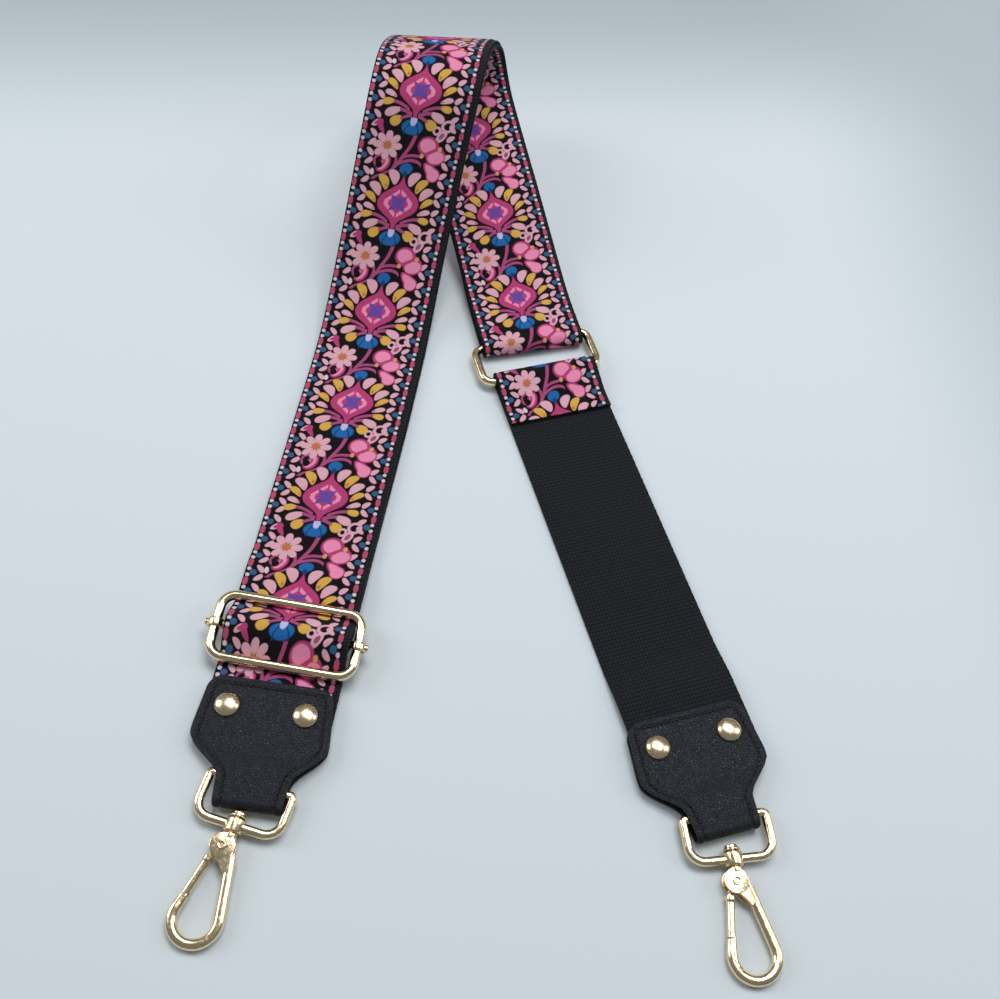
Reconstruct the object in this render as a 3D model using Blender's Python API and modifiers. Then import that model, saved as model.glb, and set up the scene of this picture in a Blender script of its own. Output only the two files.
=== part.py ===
"""Detachable bag strap: a wide doubled strap with a slider, a ring, leather tabs and swivel hooks.

The strap lies on a table. Its left run is flat, then it rises into a folded arch and comes down
again to the ring, as in the photograph. Units are metres, +Z is up, and the origin is on the
table under the middle of the whole part.
"""
import math

import bmesh
import bpy
import numpy as np
from mathutils import Matrix, Vector

# Cloth, leather and clearances
seat_gap = 0.0003
floor_gap = 0.0003
strap_side_clearance = 0.0017
webbing_thickness = 0.0012
ribbon_inset = 0.00125
ribbon_thickness = 0.0005
leather_thickness = 0.0012
strap_end_depth = 0.0260

# Arch of the strap: lengths and slopes of its side view, and how it stands on the table
arch_origin_x = -0.08461
arch_origin_y = -0.07861
arch_heading_deg = 10.587
arch_skew_deg = 11.319
arch_flat_length = 0.1160
arch_rise_length = 0.0480
arch_climb_length = 0.0741
arch_crown_length = 0.0414
arch_nose_length = 0.0481
arch_turn_length = 0.0402
arch_descent_length = 0.1170
arch_landing_length = 0.0120
arch_rise_deg = 39.0
arch_climb_deg = 59.2
arch_crown_deg = -22.4
arch_nose_deg = -40.3
arch_turn_deg = -167.8
arch_descent_deg = -172.0
arch_landing_deg = -180.0
arch_softness = 0.0051
arch_step = 0.0005
row_length = 0.0120
row_turn_deg = 11.0
return_shift = 0.0014

# Where the strap's pieces are parted along its length, counted from the arch's origin
tab_top_station = -0.0470
lower_end_station = 0.0600
return_start_station = 0.1000
run_start_station = 0.4000
ring_station = 0.5262
loop_join_length = 0.0090
run_dip_length = 0.0460

# Slider with its wrapped centre bar
slider_station = -0.0275
slider_shift = 0.0004
slider_width = 0.0574
slider_height = 0.0265
slider_corner_radius = 0.0060
slider_wire_radius = 0.0020
slider_bar_radius = 0.0015
slider_eye_radius = 0.0035
slider_eye_length = 0.0034
slider_flap_length = 0.0275
slider_rise_radius = 0.0080
slider_rise_offset = 0.0105
slider_fall_radius = 0.0200
slider_fall_length = 0.0140

# Ring between the long and the short strap
ring_heading_deg = 24.8
ring_side_clearance = 0.00175
ring_height = 0.0210
ring_corner_radius = 0.0050
ring_wire_radius = 0.0020
ring_slack = 0.0015
short_length = 0.1775
short_flap_length = 0.0250
short_flap_bend_radius = 0.0150
short_flap_bend_place = 0.0180
short_rise_radius = 0.0450
short_rise_start = 0.0290
short_rise_end = 0.0070

# Leather tabs
tab_length = 0.0506
tab_top_inset = 0.0001
tab_overhang = 0.0013
tab_throat_half_width = 0.0134
tab_neck_half_width = 0.0128
tab_corner_radius = 0.0065
tab_wide_start = 0.0210
tab_shoulder_start = 0.0235
tab_shoulder_end = 0.0374
tab_bulge_start = 0.0355
tab_bulge_end = 0.0310
tab_bulge_radius = 0.0030
tab_row_length = 0.0020
pocket_slack = 0.0003
left_tab_heading_deg = 0.8
left_tab_neck_shift = 0.0015
right_tab_heading_deg = 23.5
right_tab_neck_shift = 0.0

# Rivets
rivet_spacing = 0.0303
rivet_inset = 0.0120
rivet_post_radius = 0.0014
rivet_cap_radius = 0.0050
rivet_cap_height = 0.0024
rivet_back_radius = 0.0045
rivet_back_thickness = 0.0008
rivet_back_bevel = 0.0002

# Bail, swivel stud and hook
bail_wire_radius = 0.00175
bail_width = 0.0326
bail_height = 0.0160
bail_corner_radius = 0.0060
bail_square_radius = 0.0012
boss_radius = 0.0036
boss_length = 0.0052
stud_shank_radius = 0.0014
stud_flange_radius = 0.0034
stud_flange_thickness = 0.0009
stud_head_radius = 0.0027
stud_head_thickness = 0.0012
stud_head_bevel = 0.0004
hook_neck_radius = 0.0026
hook_socket_depth = 0.0020
hook_drop = 0.0443
hook_rod_radius = 0.0020
hook_loop_radius = 0.0083
hook_spine_offset = 0.0034
head_radius = 0.0047
head_thickness = 0.0046
head_bevel = 0.0006
gate_pin_drop = 0.0080
gate_pin_offset = 0.0011
gate_pin_radius = 0.0010
gate_pin_head_radius = 0.0017
gate_pin_head_thickness = 0.0004
gate_rod_radius = 0.0015
gate_root_offset = 0.0043
gate_root_drop = 0.0130
nose_drop = 0.0275
tongue_drop = 0.0325
tongue_radius = 0.0009
tongue_offset = 0.0010
gate_eye_radius = 0.0027
gate_eye_thickness = 0.0013
gate_arm_width = 0.0024
gate_open_deg = 20.0
head_slot_height = 0.0028
gate_spring_radius = 0.0022
gate_spring_thickness = 0.0006
left_bail_above_fold = 0.0102
right_bail_above_fold = 0.0075
left_hook_heading_deg = -8.6
right_hook_heading_deg = 14.8
hook_align_above_fold = 0.0024
hook_rest_clearance = 0.0002

# Fineness of the round shapes
round_sides = 24
hole_sides = 16
arc_step_deg = 15.0
wire_corner_steps = 5
wire_sides = 8
strip_columns = 4
tab_columns = 8
cut_overrun = 0.0010
weld_distance = 0.000001

# The strap fills the slider but for its clearance, and the ring and the tabs follow the strap
webbing_width = slider_width - 2.0 * (slider_wire_radius + strap_side_clearance)
ribbon_width = webbing_width - 2.0 * ribbon_inset
ring_width = webbing_width + 2.0 * (ring_wire_radius + ring_side_clearance)
tab_top_half_width = webbing_width / 2.0 - tab_top_inset
tab_wide_half_width = webbing_width / 2.0 + tab_overhang

layer = ribbon_thickness + seat_gap + webbing_thickness
stack = layer + seat_gap + layer
strap_bottom = floor_gap
strap_top = strap_bottom + stack

TAU = 2.0 * math.pi

for old in list(bpy.data.objects):
    bpy.data.objects.remove(old, do_unlink=True)

parts = bpy.data.collections.new("detachable_bag_strap")
cutters = bpy.data.collections.new("cutters")
bpy.context.scene.collection.children.link(parts)
bpy.context.scene.collection.children.link(cutters)


def finish(name, colour, roughness, metallic):
    """A plain material with one colour."""
    material = bpy.data.materials.new(name)
    material.use_nodes = True
    shader = material.node_tree.nodes["Principled BSDF"]
    shader.inputs["Base Color"].default_value = (*colour, 1.0)
    shader.inputs["Roughness"].default_value = roughness
    shader.inputs["Metallic"].default_value = metallic
    return material


webbing_black = finish("webbing_black", (0.012, 0.012, 0.014), 0.85, 0.0)
ribbon_floral = finish("ribbon_floral", (0.300, 0.060, 0.120), 0.80, 0.0)
leather_black = finish("leather_black", (0.020, 0.021, 0.025), 0.50, 0.0)
gold_plate = finish("gold_plate", (0.900, 0.700, 0.420), 0.18, 1.0)


def place_empty(name, position, heading_deg=0.0, tilt=0.0, parent=None):
    """An empty that carries one moving group: it turns about Z, then tips about its own X."""
    empty = bpy.data.objects.new(name, None)
    parts.objects.link(empty)
    turn = Matrix.Rotation(math.radians(heading_deg), 4, "Z") @ Matrix.Rotation(tilt, 4, "X")
    world = Matrix.Translation(Vector(position)) @ turn
    if parent is not None:
        empty.parent = parent
        world = parent.matrix_world.inverted() @ world
    empty.matrix_basis = world
    bpy.context.view_layer.update()
    return empty


def add_mesh_object(name, mesh, material, parent, collection=parts):
    """Links a mesh as one named object in its parent's frame."""
    made = bpy.data.objects.new(name, mesh)
    collection.objects.link(made)
    made.parent = parent
    if material is not None:
        mesh.materials.clear()
        mesh.materials.append(material)
    return made


def tangent_heading(first, second):
    """Heading of the line that leaves one circle and meets the next, both gone round on their side."""
    reach = second[0] - first[0]
    rise = second[1] - first[1]
    return math.atan2(rise, reach) - math.asin((second[2] - first[2]) / math.hypot(reach, rise))


def taut_path(circles, step_deg=arc_step_deg):
    """Points and left-hand normals of a path pulled taut round circles.

    Each circle is (along, height, radius). A positive radius is gone round with the centre on
    the left. The first and last have no radius: they are the ends.
    """
    headings = [tangent_heading(a, b) for a, b in zip(circles, circles[1:])]
    points, normals = [], []
    for index, (along, height, radius) in enumerate(circles):
        before = headings[max(index - 1, 0)]
        after = headings[min(index, len(headings) - 1)]
        turn = after - before
        if radius > 0.0:
            turn = (turn + weld_distance) % TAU - weld_distance
        if radius < 0.0:
            turn = -((weld_distance - turn) % TAU - weld_distance)
        if radius == 0.0:
            turn = 0.0
        steps = max(1, math.ceil(abs(turn) / math.radians(step_deg))) if abs(turn) > weld_distance else 0
        for k in range(steps + 1):
            heading = before + (turn * k / steps if steps else 0.0)
            left = (-math.sin(heading), math.cos(heading))
            points.append((along - radius * left[0], height - radius * left[1]))
            normals.append(left)
    return np.array(points), np.array(normals)


def refine(points, normals, spacing):
    """Adds evenly spaced points to a path's long straight stretches."""
    out_points, out_normals = [points[0]], [normals[0]]
    for k in range(1, len(points)):
        length = float(np.hypot(*(points[k] - points[k - 1])))
        pieces = max(1, math.ceil(length / spacing))
        for share in np.linspace(0.0, 1.0, pieces + 1)[1:]:
            out_points.append(points[k - 1] * (1.0 - share) + points[k] * share)
            out_normals.append(normals[k - 1] * (1.0 - share) + normals[k] * share)
    return np.array(out_points), np.array(out_normals)


def sheet_object(name, grid, thickness, material, parent=None, turned=False):
    """A cloth or leather piece: an open grid of points, given its thickness by Solidify."""
    rows, columns = grid.shape[:2]
    corner = np.arange(rows * columns).reshape(rows, columns)
    quads = np.stack([corner[:-1, :-1], corner[:-1, 1:], corner[1:, 1:], corner[1:, :-1]], axis=-1)
    quads = quads.reshape(-1, 4)
    if turned:
        quads = quads[:, ::-1]
    mesh = bpy.data.meshes.new(name)
    mesh.from_pydata(grid.reshape(-1, 3).tolist(), [], quads.tolist())
    made = add_mesh_object(name, mesh, material, parent)
    wall = made.modifiers.new("thickness", "SOLIDIFY")
    wall.thickness = thickness
    wall.offset = -1.0
    wall.use_even_offset = True
    return made


def strip_grid(points, normals, half_width, depth, direction):
    """Grid of a strip that follows a path, sunk by a depth below its visible face.

    direction is +1 where the path runs along local +Y, and -1 where it runs along local -Y.
    The columns run the other way then, so that a face's normal is the path's left side.
    """
    sunk = points + normals * depth
    half = half_width(sunk[:, 0]) if callable(half_width) else np.full(len(sunk), half_width)
    columns = strip_columns if not callable(half_width) else tab_columns
    shares = np.linspace(-1.0, 1.0, columns + 1) * direction
    grid = np.empty((len(sunk), columns + 1, 3))
    grid[:, :, 0] = half[:, None] * shares[None, :]
    grid[:, :, 1] = direction * sunk[:, 0][:, None]
    grid[:, :, 2] = sunk[:, 1][:, None]
    return grid


def woven_pair(name, circles, parent, direction, outward, suffix=""):
    """The ribbon and the webbing of one stretch of strap, which follow the same taut path.

    outward is +1 where the ribbon is on the path's left, and -1 where it is on the right.
    """
    points, normals = taut_path(circles)
    made = []
    for kind, half, depth, thickness, material in (
        ("ribbon", ribbon_width / 2.0, 0.0, ribbon_thickness, ribbon_floral),
        ("webbing", webbing_width / 2.0, ribbon_thickness + seat_gap, webbing_thickness, webbing_black),
    ):
        grid = strip_grid(points, normals, half, -outward * depth, direction)
        node = name + "_" + kind + suffix
        made.append(sheet_object(node, grid, thickness, material, parent, turned=outward < 0))
    return made


def smooth_share(values, start, end):
    """0 before start, 1 after end, and a smooth rise between them."""
    share = np.clip((np.asarray(values) - start) / (end - start), 0.0, 1.0)
    return share * share * (3.0 - 2.0 * share)


def arch_profile():
    """Side view of the arch: distance along the skewed strap, forward place, height and slope.

    The slope runs in straight legs between the named angles, softened by a bell-shaped average,
    and is summed up to give the curve. A small smooth lift closes its height on the ring.
    """
    lengths = (arch_flat_length, arch_rise_length, arch_climb_length, arch_crown_length,
               arch_nose_length, arch_turn_length, arch_descent_length, arch_landing_length)
    slopes = (0.0, arch_rise_deg, arch_climb_deg, arch_crown_deg,
              arch_nose_deg, arch_turn_deg, arch_descent_deg, arch_landing_deg)
    knots = np.cumsum(lengths)
    ring_place = ring_station * math.cos(math.radians(arch_skew_deg))
    margin = webbing_width + arch_flat_length
    place = np.arange(-margin, ring_place + margin, arch_step)
    slope = np.interp(place, knots, np.radians(slopes))
    reach = int(round(4.0 * arch_softness / arch_step))
    bell = np.exp(-0.5 * (np.arange(-reach, reach + 1) * arch_step / arch_softness) ** 2)
    padded = np.pad(slope, reach, mode="edge")
    slope = np.convolve(padded, bell / bell.sum(), mode="valid")
    middle = (slope[1:] + slope[:-1]) / 2.0
    forward = np.concatenate([[0.0], np.cumsum(np.cos(middle)) * arch_step])
    height = np.concatenate([[0.0], np.cumsum(np.sin(middle)) * arch_step])
    forward -= np.interp(0.0, place, forward)
    missing = ring_bar_height - np.interp(ring_place, place, height) - strap_top
    height += strap_top + missing * smooth_share(place, arch_flat_length, ring_place - webbing_width)
    return place, forward, height, np.unwrap(np.arctan2(np.gradient(height), np.gradient(forward)))


# The ring's bars lie between the strap on the table and the strap folded back over them
ring_bar_height = strap_bottom + layer + seat_gap + ring_wire_radius
arch_place, arch_forward, arch_height, arch_angle = arch_profile()
skew = math.radians(arch_skew_deg)
arch_side = np.array([math.cos(math.radians(arch_heading_deg)), math.sin(math.radians(arch_heading_deg))])
arch_ahead = np.array([-arch_side[1], arch_side[0]])


def arch_points(station, across, depth=0.0, shift=0.0):
    """World points of the strap on the arch, at stations along it and places across it.

    The arch is a cylinder of any section, and the strap lies on it askew, so a point's place
    round the section mixes its station and its place across.
    """
    sideways = station * math.sin(skew) + across * math.cos(skew) + shift
    place = station * math.cos(skew) - across * math.sin(skew)
    angle = np.interp(place, arch_place, arch_angle)
    forward = np.interp(place, arch_place, arch_forward) + depth * np.sin(angle)
    height = np.interp(place, arch_place, arch_height) - depth * np.cos(angle)
    x = arch_origin_x + sideways * arch_side[0] + forward * arch_ahead[0]
    y = arch_origin_y + sideways * arch_side[1] + forward * arch_ahead[1]
    return np.stack([x, y, height], axis=-1)


def arch_rows(start, end):
    """Stations between two ends, closer together where the strap bends."""
    fine = np.linspace(start, end, round(abs(end - start) / arch_step) + 1)
    angle = np.interp(fine * math.cos(skew), arch_place, arch_angle)
    bend = np.abs(np.diff(angle)) / math.radians(row_turn_deg)
    count = np.concatenate([[0.0], np.cumsum(np.abs(np.diff(fine)) / row_length + bend)])
    return np.interp(np.linspace(0.0, count[-1], math.ceil(count[-1]) + 1), count, fine)


def arch_sheet(name, start, end, half_width, depth, thickness, material, returning):
    """One layer of the strap on the arch, from its visible face to its thickness inward."""
    stations, across = np.meshgrid(arch_rows(start, end), np.linspace(-half_width, half_width, strip_columns + 1),
                                   indexing="ij")
    grid = arch_points(stations, across, depth, return_shift if returning else 0.0)
    if not returning:
        dip = smooth_share(stations, ring_station - loop_join_length - run_dip_length,
                           ring_station - loop_join_length)
        grid[:, :, 2] -= stack * dip
    return sheet_object(name, grid, thickness, material, turned=returning)


def arch_pair(name, start, end, returning):
    """The ribbon and the webbing of one stretch on the arch."""
    ribbon_depth = stack if returning else 0.0
    inward = -1.0 if returning else 1.0
    webbing_depth = ribbon_depth + inward * (ribbon_thickness + seat_gap)
    arch_sheet(name + "_ribbon", start, end, ribbon_width / 2.0, ribbon_depth, ribbon_thickness,
               ribbon_floral, returning)
    arch_sheet(name + "_webbing", start, end, webbing_width / 2.0, webbing_depth, webbing_thickness,
               webbing_black, returning)


def long_strap():
    """The arch and its right-hand run: the front layer, and the layer that returns inside it."""
    join = ring_station - loop_join_length
    arch_pair("front_arch", lower_end_station + seat_gap, run_start_station, False)
    arch_pair("front_run", run_start_station + seat_gap, join, False)
    arch_pair("return_run", run_start_station + seat_gap, join, True)
    arch_pair("return_arch", return_start_station + seat_gap, run_start_station, True)


def wire_loop(name, width, height, radii, wire_radius, parent, centre_y=0.0):
    """A rounded rectangle of round wire in the local XY plane, as a closed curve.

    radii are the corners' bend radii, from the top right one round to the left.
    """
    half_w, half_h = width / 2.0, height / 2.0
    corners = ((half_w, half_h, 0.0), (-half_w, half_h, 90.0), (-half_w, -half_h, 180.0), (half_w, -half_h, 270.0))
    points = []
    for (x, y, start_deg), radius in zip(corners, radii):
        for k in range(wire_corner_steps + 1):
            angle = math.radians(start_deg + 90.0 * k / wire_corner_steps)
            px = x - math.copysign(radius, x) + radius * math.cos(angle)
            py = y - math.copysign(radius, y) + radius * math.sin(angle)
            points.append((px, py + centre_y, 0.0))
    return wire(name, points, wire_radius, parent, cyclic=True)


def wire(name, points, wire_radius, parent, cyclic=False, collection=parts):
    """A round wire through points: a curve with a bevel."""
    curve = bpy.data.curves.new(name, "CURVE")
    curve.dimensions = "3D"
    curve.bevel_depth = wire_radius
    curve.bevel_resolution = 2
    curve.use_fill_caps = True
    spline = curve.splines.new("POLY")
    spline.points.add(len(points) - 1)
    for place, point in zip(spline.points, points):
        place.co = (*point, 1.0)
        place.tilt = math.pi / wire_sides
    spline.use_cyclic_u = cyclic
    curve.materials.append(gold_plate)
    made = bpy.data.objects.new(name, curve)
    collection.objects.link(made)
    made.parent = parent
    return made


def as_mesh(made):
    """Turns a curve object into a mesh object with welded caps, in the same place."""
    bpy.context.view_layer.update()
    mesh = bpy.data.meshes.new_from_object(made.evaluated_get(bpy.context.evaluated_depsgraph_get()))
    work = bmesh.new()
    work.from_mesh(mesh)
    bmesh.ops.remove_doubles(work, verts=work.verts, dist=weld_distance)
    bmesh.ops.recalc_face_normals(work, faces=work.faces)
    work.to_mesh(mesh)
    work.free()
    name, parent, collection = made.name, made.parent, made.users_collection[0]
    bpy.data.objects.remove(made, do_unlink=True)
    solid = add_mesh_object(name, mesh, gold_plate, parent, collection)
    return solid


def round_bar(name, radius, start, end, axis, centre, parent, material=None, collection=cutters, sides=hole_sides):
    """A cylinder along local X, Y or Z, from start to end, about a centre in the other two."""
    mesh = bpy.data.meshes.new(name)
    work = bmesh.new()
    bmesh.ops.create_cone(work, cap_ends=True, segments=sides, radius1=radius, radius2=radius,
                          depth=end - start)
    turn = {"X": Matrix.Rotation(math.radians(90.0), 4, "Y"),
            "Y": Matrix.Rotation(math.radians(-90.0), 4, "X"),
            "Z": Matrix.Identity(4)}[axis]
    middle = (start + end) / 2.0
    place = {"X": (middle, centre[0], centre[1]), "Y": (centre[0], middle, centre[1]),
             "Z": (centre[0], centre[1], middle)}[axis]
    bmesh.ops.transform(work, matrix=Matrix.Translation(place) @ turn, verts=work.verts)
    work.to_mesh(mesh)
    work.free()
    made = add_mesh_object(name, mesh, material, parent, collection)
    if collection is cutters:
        made.hide_render = True
        made.display_type = "WIRE"
    return made


def block(name, low, high, parent, turn_deg=0.0, pivot=(0.0, 0.0)):
    """A box cutter between two corners, turned about a pivot in the local XY plane."""
    mesh = bpy.data.meshes.new(name)
    work = bmesh.new()
    bmesh.ops.create_cube(work, size=1.0)
    size = [b - a for a, b in zip(low, high)]
    middle = [(a + b) / 2.0 for a, b in zip(low, high)]
    shape = Matrix.Translation(middle) @ Matrix.Diagonal((*size, 1.0))
    swing = Matrix.Translation((*pivot, 0.0)) @ Matrix.Rotation(math.radians(turn_deg), 4, "Z")
    bmesh.ops.transform(work, matrix=swing @ shape, verts=work.verts)
    work.to_mesh(mesh)
    work.free()
    made = add_mesh_object(name, mesh, None, parent, cutters)
    made.hide_render = True
    made.display_type = "WIRE"
    return made


def combine(target, other, operation):
    """Adds one exact Boolean; what is joined or cut away stays as a hidden guide."""
    step = target.modifiers.new(operation.lower(), "BOOLEAN")
    step.operation = operation
    step.solver = "EXACT"
    step.object = other
    return step


def turned(name, profile, parent, material=gold_plate, axis="Z", centre=(0.0, 0.0, 0.0)):
    """A turned piece: a profile of (radius, height) pairs, top to bottom, with a Screw modifier."""
    mesh = bpy.data.meshes.new(name)
    vertices = [(radius, 0.0, height) for radius, height in profile]
    mesh.from_pydata(vertices, [(k, k + 1) for k in range(len(vertices) - 1)], [])
    made = add_mesh_object(name, mesh, material, parent)
    made.location = centre
    if axis == "Y":
        made.rotation_euler = (math.radians(-90.0), 0.0, 0.0)
    screw = made.modifiers.new("turning", "SCREW")
    screw.steps = round_sides
    screw.render_steps = round_sides
    screw.use_merge_vertices = True
    screw.merge_threshold = weld_distance
    return made


def rivet(name, parent, across, along):
    """A domed rivet and its flat back cap, through the two leather panels and the strap end."""
    dome_seat = front_panel_top + seat_gap
    dome_shares = (0.00, 0.30, 0.55, 0.78, 0.93, 1.00)
    profile = [(rivet_cap_radius * share, dome_seat + rivet_cap_height * math.sqrt(1.0 - share * share))
               for share in dome_shares]
    profile += [(rivet_post_radius, dome_seat), (rivet_post_radius, rivet_back_thickness + seat_gap),
                (0.0, rivet_back_thickness + seat_gap)]
    turned(name, profile, parent, centre=(across, -along, 0.0))
    back = [(0.0, rivet_back_thickness), (rivet_back_radius - rivet_back_bevel, rivet_back_thickness),
            (rivet_back_radius, rivet_back_thickness - rivet_back_bevel), (rivet_back_radius, 0.0), (0.0, 0.0)]
    turned(name + "_back", back, parent, centre=(across, -along, 0.0))


# Heights in a tab: back cap, back panel, strap end, front panel, and the pocket for the bail
back_panel_bottom = rivet_back_thickness + seat_gap
tab_strap_bottom = back_panel_bottom + leather_thickness + seat_gap
front_panel_top = tab_strap_bottom + layer + seat_gap + leather_thickness
pocket_half = bail_wire_radius + pocket_slack
fold_radius = pocket_half + leather_thickness
pocket_height = back_panel_bottom + fold_radius
bulge_top = pocket_height + fold_radius


def neck_share(along):
    """0 in the wide part of a tab, 1 in its neck, and a cosine between them."""
    share = np.clip((along - tab_shoulder_start) / (tab_shoulder_end - tab_shoulder_start), 0.0, 1.0)
    return 0.5 - 0.5 * np.cos(math.pi * share)


def tab_half_width(along):
    """Half width of a tab at a distance from its top edge: round corners, shoulders and a neck."""
    along = np.clip(along, 0.0, tab_length)
    corner = np.clip(tab_corner_radius - along, 0.0, tab_corner_radius)
    rounding = tab_corner_radius - np.sqrt(np.maximum(tab_corner_radius ** 2 - corner ** 2, 0.0))
    side = np.interp(along, [tab_corner_radius, tab_wide_start], [tab_top_half_width, tab_wide_half_width])
    shoulder = neck_share(along)
    neck = np.interp(along, [tab_shoulder_end, tab_length], [tab_throat_half_width, tab_neck_half_width])
    return (side - rounding) * (1.0 - shoulder) + neck * shoulder


def leather_tab(name, parent, neck_shift):
    """One strip of leather, folded round the bail: the back panel, the fold and the front panel.

    The neck stands a little to one side of the wide part's middle.
    """
    circles = ((0.0, back_panel_bottom, 0.0),
               (tab_length - fold_radius, pocket_height, fold_radius),
               (tab_bulge_start, bulge_top - tab_bulge_radius, tab_bulge_radius),
               (tab_bulge_end, front_panel_top + tab_bulge_radius, -tab_bulge_radius),
               (0.0, front_panel_top, 0.0))
    points, normals = refine(*taut_path(circles), tab_row_length)
    grid = strip_grid(points, normals, tab_half_width, 0.0, -1.0)
    grid[:, :, 0] += neck_shift * neck_share(points[:, 0])[:, None]
    tab = sheet_object(name, grid, leather_thickness, leather_black, parent, turned=True)
    return tab


def rivet_holes(targets, parent, name):
    """Cuts the rivets' holes through leather and strap, and sets the rivets in them."""
    for side, across in (("a", -rivet_spacing / 2.0), ("b", rivet_spacing / 2.0)):
        rivet(name + "_rivet_" + side, parent, across, rivet_inset)
        hole = round_bar(name + "_rivet_hole_" + side, rivet_post_radius + seat_gap, -cut_overrun,
                         bulge_top + cut_overrun, "Z", (across, -rivet_inset), parent)
        for target in targets:
            combine(target, hole, "DIFFERENCE")


def line_point(start, end, y):
    """The point at height y on the line through two points."""
    share = (y - start[1]) / (end[1] - start[1])
    return (start[0] + (end[0] - start[0]) * share, y)


def swivel_hook(side, tab_empty, above_fold, heading_deg):
    """The bail in the tab's fold, and the swivel hook with its sprung gate that hangs on it.

    The local origin is the middle of the bail's bar in the fold, and local -Y points at the hook.
    """
    fold = tab_empty.matrix_world @ Vector((0.0, -(tab_length - hook_align_above_fold), 0.0))
    back = above_fold - hook_align_above_fold
    pivot = (fold.x - back * math.sin(math.radians(heading_deg)),
             fold.y + back * math.cos(math.radians(heading_deg)), pocket_height)
    drop = pocket_height - hook_rod_radius - hook_rest_clearance
    tilt = math.asin(drop / (bail_height + hook_drop - hook_rod_radius))
    place = place_empty(side + "_hook_place", pivot, heading_deg, tilt)

    radii = (bail_square_radius, bail_square_radius, bail_corner_radius, bail_corner_radius)
    bail = as_mesh(wire_loop(side + "_bail", bail_width, bail_height, radii, bail_wire_radius, place,
                             centre_y=-bail_height / 2.0))
    boss_top = -bail_height + boss_length / 2.0
    boss_bottom = -bail_height - boss_length / 2.0
    boss = round_bar(side + "_boss", boss_radius, boss_bottom, boss_top, "Y", (0.0, 0.0), place, sides=round_sides)
    combine(bail, boss, "UNION")
    bore = round_bar(side + "_boss_bore", stud_shank_radius + seat_gap, boss_bottom - cut_overrun,
                     boss_top + cut_overrun, "Y", (0.0, 0.0), place)
    combine(bail, bore, "DIFFERENCE")

    flange_base = boss_top + seat_gap
    head_base = flange_base + stud_flange_thickness
    head_top = head_base + stud_head_thickness
    neck_top = boss_bottom - seat_gap
    socket_bottom = neck_top - hook_socket_depth
    stud = [(0.0, head_top), (stud_head_radius - stud_head_bevel, head_top),
            (stud_head_radius, head_top - stud_head_bevel), (stud_head_radius, head_base),
            (stud_flange_radius, head_base), (stud_flange_radius, flange_base),
            (stud_shank_radius, flange_base), (stud_shank_radius, socket_bottom + seat_gap),
            (0.0, socket_bottom + seat_gap)]
    turned(side + "_swivel_stud", stud, place, axis="Y")

    pin = (-gate_pin_offset, -bail_height - gate_pin_drop)
    loop_centre = (0.0, -bail_height - hook_drop + hook_rod_radius + hook_loop_radius)
    spine_top = (hook_spine_offset, pin[1])
    gate_root = (-gate_root_offset, -bail_height - gate_root_drop)
    loop_path, _ = taut_path(((*spine_top, 0.0), (*loop_centre, -hook_loop_radius), (*gate_root, 0.0)))
    left_leg = (tuple(loop_path[-2]), gate_root)
    nose = line_point(*left_leg, -bail_height - nose_drop)
    rod_points = [(x, y, 0.0) for x, y in loop_path[:-1]] + [(*nose, 0.0)]
    hook = as_mesh(wire(side + "_hook", rod_points, hook_rod_radius, place))
    neck = round_bar(side + "_hook_neck", hook_neck_radius, pin[1], neck_top, "Y", (0.0, 0.0), place,
                     sides=round_sides)
    head = round_bar(side + "_hook_head", head_radius, -head_thickness / 2.0, head_thickness / 2.0, "Z", pin,
                     place, sides=round_sides)
    edge = head.modifiers.new("edge", "BEVEL")
    edge.width = head_bevel
    edge.segments = 1
    edge.limit_method = "ANGLE"
    for piece in (neck, head):
        combine(hook, piece, "UNION")
    leg_deg = math.degrees(math.atan2(left_leg[1][1] - left_leg[0][1], left_leg[1][0] - left_leg[0][0])) - 90.0
    tongue_end = line_point(*left_leg, -bail_height - tongue_drop)
    notch_length = math.hypot(nose[0] - tongue_end[0], nose[1] - tongue_end[1])
    tongue_half = tongue_radius + seat_gap
    notch = block(side + "_notch", (tongue_offset - tongue_half, -notch_length - seat_gap, -tongue_half),
                  (hook_rod_radius + cut_overrun, cut_overrun, tongue_half), place, leg_deg, nose)
    slot_round = round_bar(side + "_slot_round", gate_eye_radius + seat_gap, -head_slot_height / 2.0,
                           head_slot_height / 2.0, "Z", pin, place, sides=round_sides)
    root_deg = math.degrees(math.atan2(gate_root[0] - pin[0], pin[1] - gate_root[1]))
    cuts = [notch, slot_round]
    for name, swing in (("closed", 0.0), ("half", gate_open_deg / 2.0), ("open", gate_open_deg)):
        cuts.append(block(side + "_slot_" + name,
                          (-gate_arm_width / 2.0 - seat_gap, -head_radius - cut_overrun, -head_slot_height / 2.0),
                          (gate_arm_width / 2.0 + seat_gap, 0.0, head_slot_height / 2.0), place,
                          root_deg + swing, pin))
    cuts.append(round_bar(side + "_socket", stud_shank_radius + seat_gap, socket_bottom, neck_top + cut_overrun,
                          "Y", (0.0, 0.0), place))
    cuts.append(round_bar(side + "_pin_hole", gate_pin_radius + seat_gap, -head_thickness, head_thickness,
                          "Z", pin, place))
    for cut in cuts:
        combine(hook, cut, "DIFFERENCE")

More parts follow.
